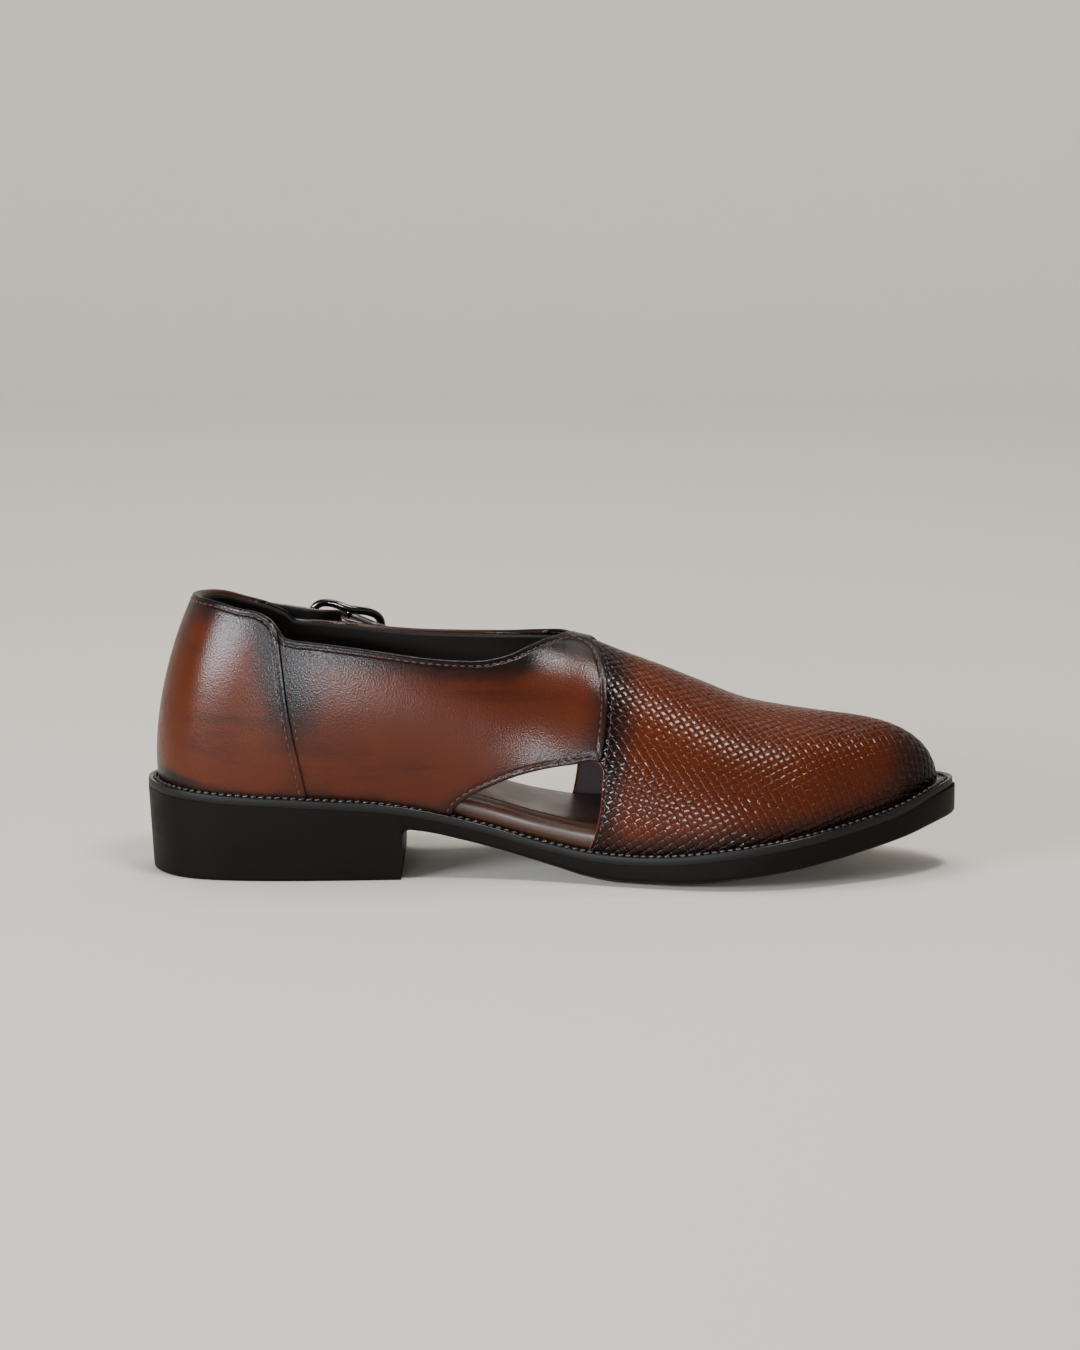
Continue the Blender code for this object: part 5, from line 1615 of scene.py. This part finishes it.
def make_tab():
    top, half = BAR_RIDE - CLEAR, TAB_WIDTH / 2
    rows = []
    for angle in np.radians([172, 160, 145, 130, 115, 100, 85]):
        rise = (top - CLEAR) / 2 * math.sin(angle)
        eye = top / 2 + CLEAR / 2
        rows.append((top / 2 * math.cos(angle), half, eye - rise, eye + rise))
    flat = CLEAR + 1.8 * TAB_LAYER
    rows += [(0.0020, half, CLEAR, 0.90 * top), (0.0035, half, CLEAR, 0.74 * top)]
    rows += [(0.0055, half, CLEAR, 0.58 * top), (0.0085, half, CLEAR, flat)]
    rows += [(s, half, CLEAR, flat) for s in np.linspace(0.0105, TAB_FRONT - 0.003, 8)]
    rows += [(TAB_FRONT - 0.001, 0.93 * half, CLEAR, flat), (TAB_FRONT, 0.75 * half, CLEAR, flat)]
    points, faces = band(rows)
    return mesh_piece("tab_band", points, faces, "buckle_tab", BAND_LEATHER, edge_ink(rows))


make_strap()
make_tab()

# %% [markdown]
# The buckle is die-cast, with a black glossy finish. Here that is a dark metal under a clear coat,
# with a few slightly lighter specks, because an even black would look like plastic.

# %% Black metal
def black_metal():
    f = Finish("black_metal", metallic=0.7, coat=1.0, coat_roughness=0.04)
    colour = f.mix(f.span(f.noise(220.0, 4.0, 0.6), 0.60, 0.75), srgb(13, 12, 13), srgb(30, 27, 26))
    normal = f.bump(f.noise(400.0, 2.0, 0.5), 0.00002, 0.4)
    return f.done(colour, f.span(f.noise(90.0), 0.3, 0.7, 0.12, 0.22), normal)


BLACK_METAL = black_metal()


print("finish:", BLACK_METAL.name)


# %% [markdown]
# We bend the frame's rounded rail along the same path as the solid's, with more facets. The prong
# is round and fine enough as it is, so it keeps its solid and only takes the metal.

# %% Buckle frame and prong
def rail(path, half_width, half_height, closed, sides=14):
    """Rings of a rounded bar along a path of (s, w, h)."""
    ahead = np.roll(path, -1, axis=0) - np.roll(path, 1, axis=0)
    if not closed:
        ahead[0], ahead[-1] = ahead[1], ahead[-2]
    beside = np.stack([-ahead[:, 1], ahead[:, 0]], axis=1)
    beside /= np.linalg.norm(beside, axis=1)[:, None]
    angle = (np.arange(sides) + 0.5) * 2 * math.pi / sides
    across, rise = half_width * np.cos(angle), half_height * np.sin(angle)
    s = path[:, :1] + beside[:, :1] * across
    w = path[:, 1:2] + beside[:, 1:] * across
    return on_strap(s, w, path[:, 2:] + rise)[0]


def make_frame():
    long, tall = (BUCKLE_LENGTH - BUCKLE_RAIL) / 2, (BUCKLE_HEIGHT - BUCKLE_RAIL) / 2
    angle = np.arange(96) * 2 * math.pi / 96
    s = long * np.sign(np.cos(angle)) * np.abs(np.cos(angle)) ** 0.55
    w = tall * np.sign(np.sin(angle)) * np.abs(np.sin(angle)) ** 0.45
    w = w * (1 - BUCKLE_WAIST / tall * np.exp(-((s / (0.35 * long)) ** 2)))
    rises = [(at * BUCKLE_LENGTH / 2, share * BAR_RIDE) for at, share in RAIL_RIDE]
    ride = smooth(*zip(*rises), s)
    step = np.linalg.norm(np.roll(np.stack([s, w], 1), -1, axis=0) - np.stack([s, w], 1), axis=1)
    run = np.concatenate([[0], np.cumsum(step)])
    at = np.linspace(0, run[-1], 121)[:-1]
    path = np.stack([np.interp(at, run, np.append(v, v[0])) for v in (s, w, ride)], axis=1)
    points, faces = loft(rail(path, 1.5 * MM, 1.4 * MM, True), capped=False)
    reach = tall - BUCKLE_WAIST
    middle = 2 * CLEAR + TAB_LAYER + CENTRE_BAR / 2
    bar = np.array([(0, v, middle) for v in np.linspace(-reach, reach, 13)])
    more, sides = loft(rail(bar, CENTRE_BAR / 2, CENTRE_BAR / 2, False))
    faces = faces + [[v + len(points) for v in f] for f in sides]
    points = np.vstack([points, more])
    mesh_piece("frame_cast", points, faces, "buckle_frame", BLACK_METAL)


make_frame()
for slot in frame["nodes"]["buckle_prong"].material_slots:
    slot.material = BLACK_METAL

# %% [markdown]
# Seams are sewn at an even distance from an edge, so each is a line of one distance on the last. We
# trim a net at that distance and keep its new border as the line.

# %% Lines of stitches
def seam_lines(span, field, keep, height):
    """Where a field is zero on the last, as lines of points with their ways out."""
    c_from, c_to, columns, rows = span
    corners, tris = trim(*net(c_from, c_to, columns, rows), field)
    lines = []
    for loop in border(tris):
        c, t = corners[loop].T
        on = (np.abs(field(c, t)) < 0.06 * MM) & (keep(c, t) > 0)
        if not on.any():
            continue
        turn = -int(np.flatnonzero(~on)[0]) if not on.all() else 0
        loop, on = np.roll(loop, turn), np.roll(on, turn)
        runs = np.split(np.arange(len(loop)), np.flatnonzero(np.diff(on.astype(int))) + 1)
        for run in runs:
            if on[run[0]] and len(run) > 6:
                c, t = corners[loop[run]].T
                base, way = read(PLACES, c, t), read(NORMALS, c, t)
                lines.append((base + way * height, way))
    return lines


def even_line(points, ways):
    """The same line with even steps and no corners from the net's cells."""
    for _ in range(6):
        points[1:-1] = (points[:-2] + 2 * points[1:-1] + points[2:]) / 4
    run = np.concatenate([[0], np.cumsum(np.linalg.norm(np.diff(points, axis=0), axis=1))])
    at = np.linspace(0, run[-1], max(int(run[-1] / 0.0012), 4))
    line = np.column_stack([np.interp(at, run, points[:, k]) for k in range(3)])
    out = np.column_stack([np.interp(at, run, ways[:, k]) for k in range(3)])
    return line, out


# %% [markdown]
# A textured line of thread would look flat, and an array along a curve would bend every stitch. So
# Geometry Nodes walk along the line and set one small straight stitch at each step, turned along
# the line and standing on the leather.

# %% One stitch at each step
def stitch_tree(material):
    """Sets a rounded stitch at every step along the lines of a mesh."""
    tree = bpy.data.node_groups.new("stitches", "GeometryNodeTree")
    tree.interface.new_socket("Lines", in_out="INPUT", socket_type="NodeSocketGeometry")
    for name in ("Step", "Length", "Width", "Height"):
        tree.interface.new_socket(name, in_out="INPUT", socket_type="NodeSocketFloat")
    tree.interface.new_socket("Stitches", in_out="OUTPUT", socket_type="NodeSocketGeometry")

    def node(kind, inputs=(), **settings):
        return add_node(tree, kind, inputs, **settings).outputs

    given = node("NodeGroupInput")
    curve = node("GeometryNodeMeshToCurve", {"Mesh": given["Lines"]})
    even = node("GeometryNodeResampleCurve", {"Curve": curve[0], "Length": given["Step"]}, mode="LENGTH")
    bead = node("GeometryNodeMeshUVSphere", {"Segments": 8, "Rings": 5, "Radius": 0.5})
    size = node("ShaderNodeCombineXYZ", {"X": given["Length"], "Y": given["Width"], "Z": given["Height"]})
    out = node("GeometryNodeInputNamedAttribute", {"Name": "out"}, data_type="FLOAT_VECTOR")
    align = "FunctionNodeAlignRotationToVector"
    stand = node(align, {"Vector": out["Attribute"]}, axis="Z")
    ahead = node("GeometryNodeInputTangent")
    turn = node(align, {"Rotation": stand[0], "Vector": ahead[0]}, axis="X", pivot_axis="Z")
    put_down = {"Points": even[0], "Instance": bead["Mesh"], "Rotation": turn[0], "Scale": size[0]}
    beads = node("GeometryNodeInstanceOnPoints", put_down)
    real = node("GeometryNodeRealizeInstances", {"Geometry": beads[0]})
    soft = node("GeometryNodeSetShadeSmooth", {"Geometry": real[0]})
    paint = node("GeometryNodeSetMaterial", {"Geometry": soft[0], "Material": material})
    node("NodeGroupOutput", {"Stitches": paint[0]})
    return tree


def sew(name, lines, material, step=2.9, length=2.2, width=0.62, height=0.5):
    """A row of stitches along the lines, in millimetres, as one plain mesh."""
    places, ways, edges = [], [], []
    for points, out in lines:
        points, out = even_line(points.copy(), out)
        first = sum(len(one) for one in places)
        edges += [(first + k, first + k + 1) for k in range(len(points) - 1)]
        places.append(points)
        ways.append(out)
    mesh = bpy.data.meshes.new(name + "_line")
    mesh.from_pydata(np.vstack(places), edges, [])
    mesh.attributes.new("out", "FLOAT_VECTOR", "POINT").data.foreach_set("vector", np.vstack(ways).ravel())
    thread = bpy.data.objects.new(name + "_line", mesh)
    bpy.context.scene.collection.objects.link(thread)
    modifier = thread.modifiers.new("stitches", "NODES")
    modifier.node_group = stitch_tree(material)
    sockets = modifier.node_group.interface.items_tree
    inputs = {s.name: s.identifier for s in sockets if s.in_out == "INPUT"}
    for key, value in (("Step", step), ("Length", length), ("Width", width), ("Height", height)):
        modifier[inputs[key]] = value * MM
    bpy.context.view_layer.update()
    done = thread.evaluated_get(bpy.context.evaluated_depsgraph_get())
    sewn = bpy.data.meshes.new_from_object(done)
    points = np.empty(len(sewn.vertices) * 3)
    sewn.vertices.foreach_get("co", points)
    faces = [tuple(f.vertices) for f in sewn.polygons]
    bpy.data.objects.remove(thread)
    return mesh_piece(name, points.reshape(-1, 3), faces, None, material)


# %% [markdown]
# Thread is twisted from finer threads. Each stitch is less than a millimetre wide, so the twist is
# a fine wave in the bump, and a coat stands for the wax.

# %% Thread
def thread_finish(name, colour, shine):
    f = Finish(name, roughness=0.5, coat=shine, coat_roughness=0.15)
    twist = f.node("ShaderNodeTexWave", {"Scale": 900.0, "Vector": f.place((1, 1, 1), (0, 0, 0.7))})
    normal = f.bump(twist.outputs["Fac"], 0.00004, 0.5)
    return f.done(f.mix(f.noise(500.0), colour, tuple(0.6 * v for v in colour)), None, normal)


THREAD = thread_finish("brown_thread", THREAD_BROWN, 0.1)
BLACK_THREAD = thread_finish("waxed_black_thread", srgb(9, 9, 10), 0.5)
print("finishes:", THREAD.name, BLACK_THREAD.name)

# %% [markdown]
# Two rows hold the counter, one follows the whole topline, and the quarter's front edge and the
# cut-out have their own. The vamp has a row in front of the quarter and one along its raw edge.

# %% Rows on the upper, the strap and the tab
SPANS = {"counter": (-0.34, 0.34, 300, 140), "medial": (0.18, 0.60, 260, 150),
         "lateral": (1.40, 1.82, 260, 150)}
OUTSIDE_ROW = 1.4


def far(field, distance):
    """How much further inside a field a place is than this distance in millimetres."""
    return lambda c, t: read(field, c, t) - distance * MM


def before(field, distance):
    return lambda c, t: -read(field, c, t) - distance * MM


def every(*parts):
    return lambda c, t: np.min([part(c, t) for part in parts], axis=0)


def upper_half(c, t):
    return read(PLACES, c, t)[:, 2] - 0.052


topline, window = far(BELOW_COLLAR, TOPLINE_ROW), far(OFF_WINDOW, TOPLINE_ROW)
behind_front, outside_front = far(BEHIND_SEAM, SEAM_ROW), before(BEHIND_SEAM, OUTSIDE_ROW)
on_quarters = every(before(IN_COUNTER, 1.6), behind_front)
rows = seam_lines(SPANS["counter"], topline, far(IN_COUNTER, 2.0), COUNTER)
rows += seam_lines(SPANS["counter"], far(IN_COUNTER, SEAM_ROW), topline, COUNTER)
front_rows = []
for span in (SPANS["medial"], SPANS["lateral"]):
    rows += seam_lines(span, topline, on_quarters, QUARTER)
    rows += seam_lines(span, before(IN_COUNTER, OUTSIDE_ROW), every(topline, upper_half), QUARTER)
    rows += seam_lines(span, behind_front, every(topline, window), QUARTER)
    rows += seam_lines(span, window, every(behind_front, before(IN_COUNTER, 1.6)), QUARTER)
    front_rows += seam_lines(span, outside_front, every(topline, far(OFF_WINDOW, 1.2)), VAMP)
    front_rows += seam_lines(span, far(OFF_WINDOW, 1.5), outside_front, VAMP)
sew("upper_stitches", rows, THREAD)
sew("vamp_stitches", front_rows, THREAD, 2.4, 1.9, 0.55, 0.45)

half = STRAP_WIDTH / 2 - 1.9 * MM
along = np.linspace(STRAP_REAR + 0.002, STRAP_TIP - 0.006, 60)
strap_rows = [on_strap(along, side * half, strap_ride(along) + STRAP_THICKNESS) for side in (-1, 1)]
sew("strap_stitches", strap_rows, THREAD, 2.9, 2.1, 0.55, 0.45)
tab = np.array([(x, w) for x, w in ((0.009, -1), (0.0185, -1), (0.0185, 1), (0.009, 1), (0.009, -1))])
steps = np.linspace(0, 4, 60)
tab_s, tab_w = (np.interp(steps, np.arange(5), tab[:, k]) for k in (0, 1))
tab_row = on_strap(tab_s, tab_w * (TAB_WIDTH / 2 - 1.6 * MM), CLEAR + 1.8 * TAB_LAYER)
sew("tab_stitches", [tab_row], THREAD, 2.6, 1.9, 0.5, 0.4)

# %% [markdown]
# The welt is sewn all round with thick waxed thread, which shines like a string of black beads. Its
# line needs no net, because it follows the edge of the welt.

# %% Welt stitches
def welt_row():
    xs = stations(400)
    loop = ring_at(lambda x: setback(x) + 2.5 * MM, rim_top, xs)
    loop = np.vstack([loop, loop[:1]])
    return loop, np.tile([0.0, 0.0, 1.0], (len(loop), 1))


sew("welt_stitches", [welt_row()], BLACK_THREAD, 2.9, 2.7, 1.25, 1.1)

# %% [markdown]
# The photograph looks straight at the medial side from about nine degrees above, through a long
# lens, which keeps heel and toe at nearly the same scale.

# %% Camera
def make_camera():
    lens = bpy.data.cameras.new("photo_camera")
    lens.sensor_fit = "VERTICAL"
    lens.sensor_height = 36
    lens.lens = 108
    camera = bpy.data.objects.new("photo_camera", lens)
    camera.location = (0.14425 - HEEL_LENGTH / 2, -1.469, 0.3035)
    camera.rotation_euler = (math.radians(81), 0, 0)
    bpy.context.scene.collection.objects.link(camera)
    bpy.context.scene.camera = camera


make_camera()
print("camera:", bpy.context.scene.camera.name)

# %% [markdown]
# The floor is pale and plain. A flat one would end in a hard horizon, so it turns up into a wall.

# %% Floor
def make_floor():
    """A round pale floor that turns up into a wall far off, so that no horizon shows."""
    turn = np.radians(np.linspace(-90, 0, 12))
    radii = [0.4, 0.9, *(1.9 + 1.0 * np.cos(turn)), 2.9]
    heights = [0.0, 0.0, *(1.0 + 1.0 * np.sin(turn)), 3.2]
    round_by = np.arange(72) * 2 * math.pi / 72
    points = [(0.0, 0.0, 0.0)]
    for radius, height in zip(radii, heights):
        points += [(radius * math.cos(a), radius * math.sin(a), height) for a in round_by]
    faces = [(0, 1 + k, 1 + (k + 1) % 72) for k in range(72)]
    for ring in range(len(radii) - 1):
        a, b = 1 + ring * 72, 1 + (ring + 1) * 72
        faces += [(a + k, b + k, b + (k + 1) % 72, a + (k + 1) % 72) for k in range(72)]
    mesh = bpy.data.meshes.new("floor")
    mesh.from_pydata(points, [], faces)
    mesh.shade_smooth()
    mesh.materials.append(Finish("pale_floor", roughness=0.8).done((0.66, 0.62, 0.56)))
    floor = bpy.data.objects.new("floor", mesh)
    bpy.context.scene.collection.objects.link(floor)
    return floor


print("floor:", make_floor().name)

# %% [markdown]
# A small key light hangs above and in front. Two cool windows, one to the left and one low in front,
# draw the highlights on the heel and the toe. A wide light above fills the topline, and one more
# lifts the backdrop. One big lamp would haze the dark leather.

# %% Lights
def make_light(name, place, aim, size, power, colour):
    lamp = bpy.data.lights.new(name, "AREA")
    lamp.shape = "RECTANGLE"
    lamp.size, lamp.size_y = size
    lamp.energy = power
    lamp.color = colour
    light = bpy.data.objects.new(name, lamp)
    light.location = place
    way = np.array(aim) - np.array(place)
    light.rotation_euler = (math.atan2(math.hypot(way[0], way[1]), -way[2]), 0,
                            math.atan2(way[1], way[0]) - math.pi / 2)
    bpy.context.scene.collection.objects.link(light)


WARM, COOL = (1.0, 0.98, 0.95), (0.88, 0.94, 1.0)
LIGHTS = (
    ("key", (0.40, -0.38, 1.26), (0.10, 0, 0.06), (0.27, 0.22), 10, (1.0, 0.99, 0.97)),
    ("window", (-1.39, -1.34, 0.59), (0, 0, 0.07), (1.05, 0.27), 58, COOL),
    ("low_window", (-0.25, -2.17, 0.32), (0.02, 0, 0.07), (0.6, 0.12), 24, COOL),
    ("top", (-0.05, 0.15, 1.5), (0.10, 0, 0.0), (0.9, 0.6), 9, WARM),
    ("backdrop", (0.0, 0.9, 1.9), (0.0, 2.6, 0.4), (2.2, 0.6), 30, WARM),
)
for light in LIGHTS:
    make_light(*light)
world = bpy.data.worlds.new("soft_room")
world.use_nodes = True
world.node_tree.nodes["Background"].inputs["Color"].default_value = (0.62, 0.58, 0.53, 1)
world.node_tree.nodes["Background"].inputs["Strength"].default_value = 0.15
bpy.context.scene.world = world
print("lights:", len(LIGHTS))
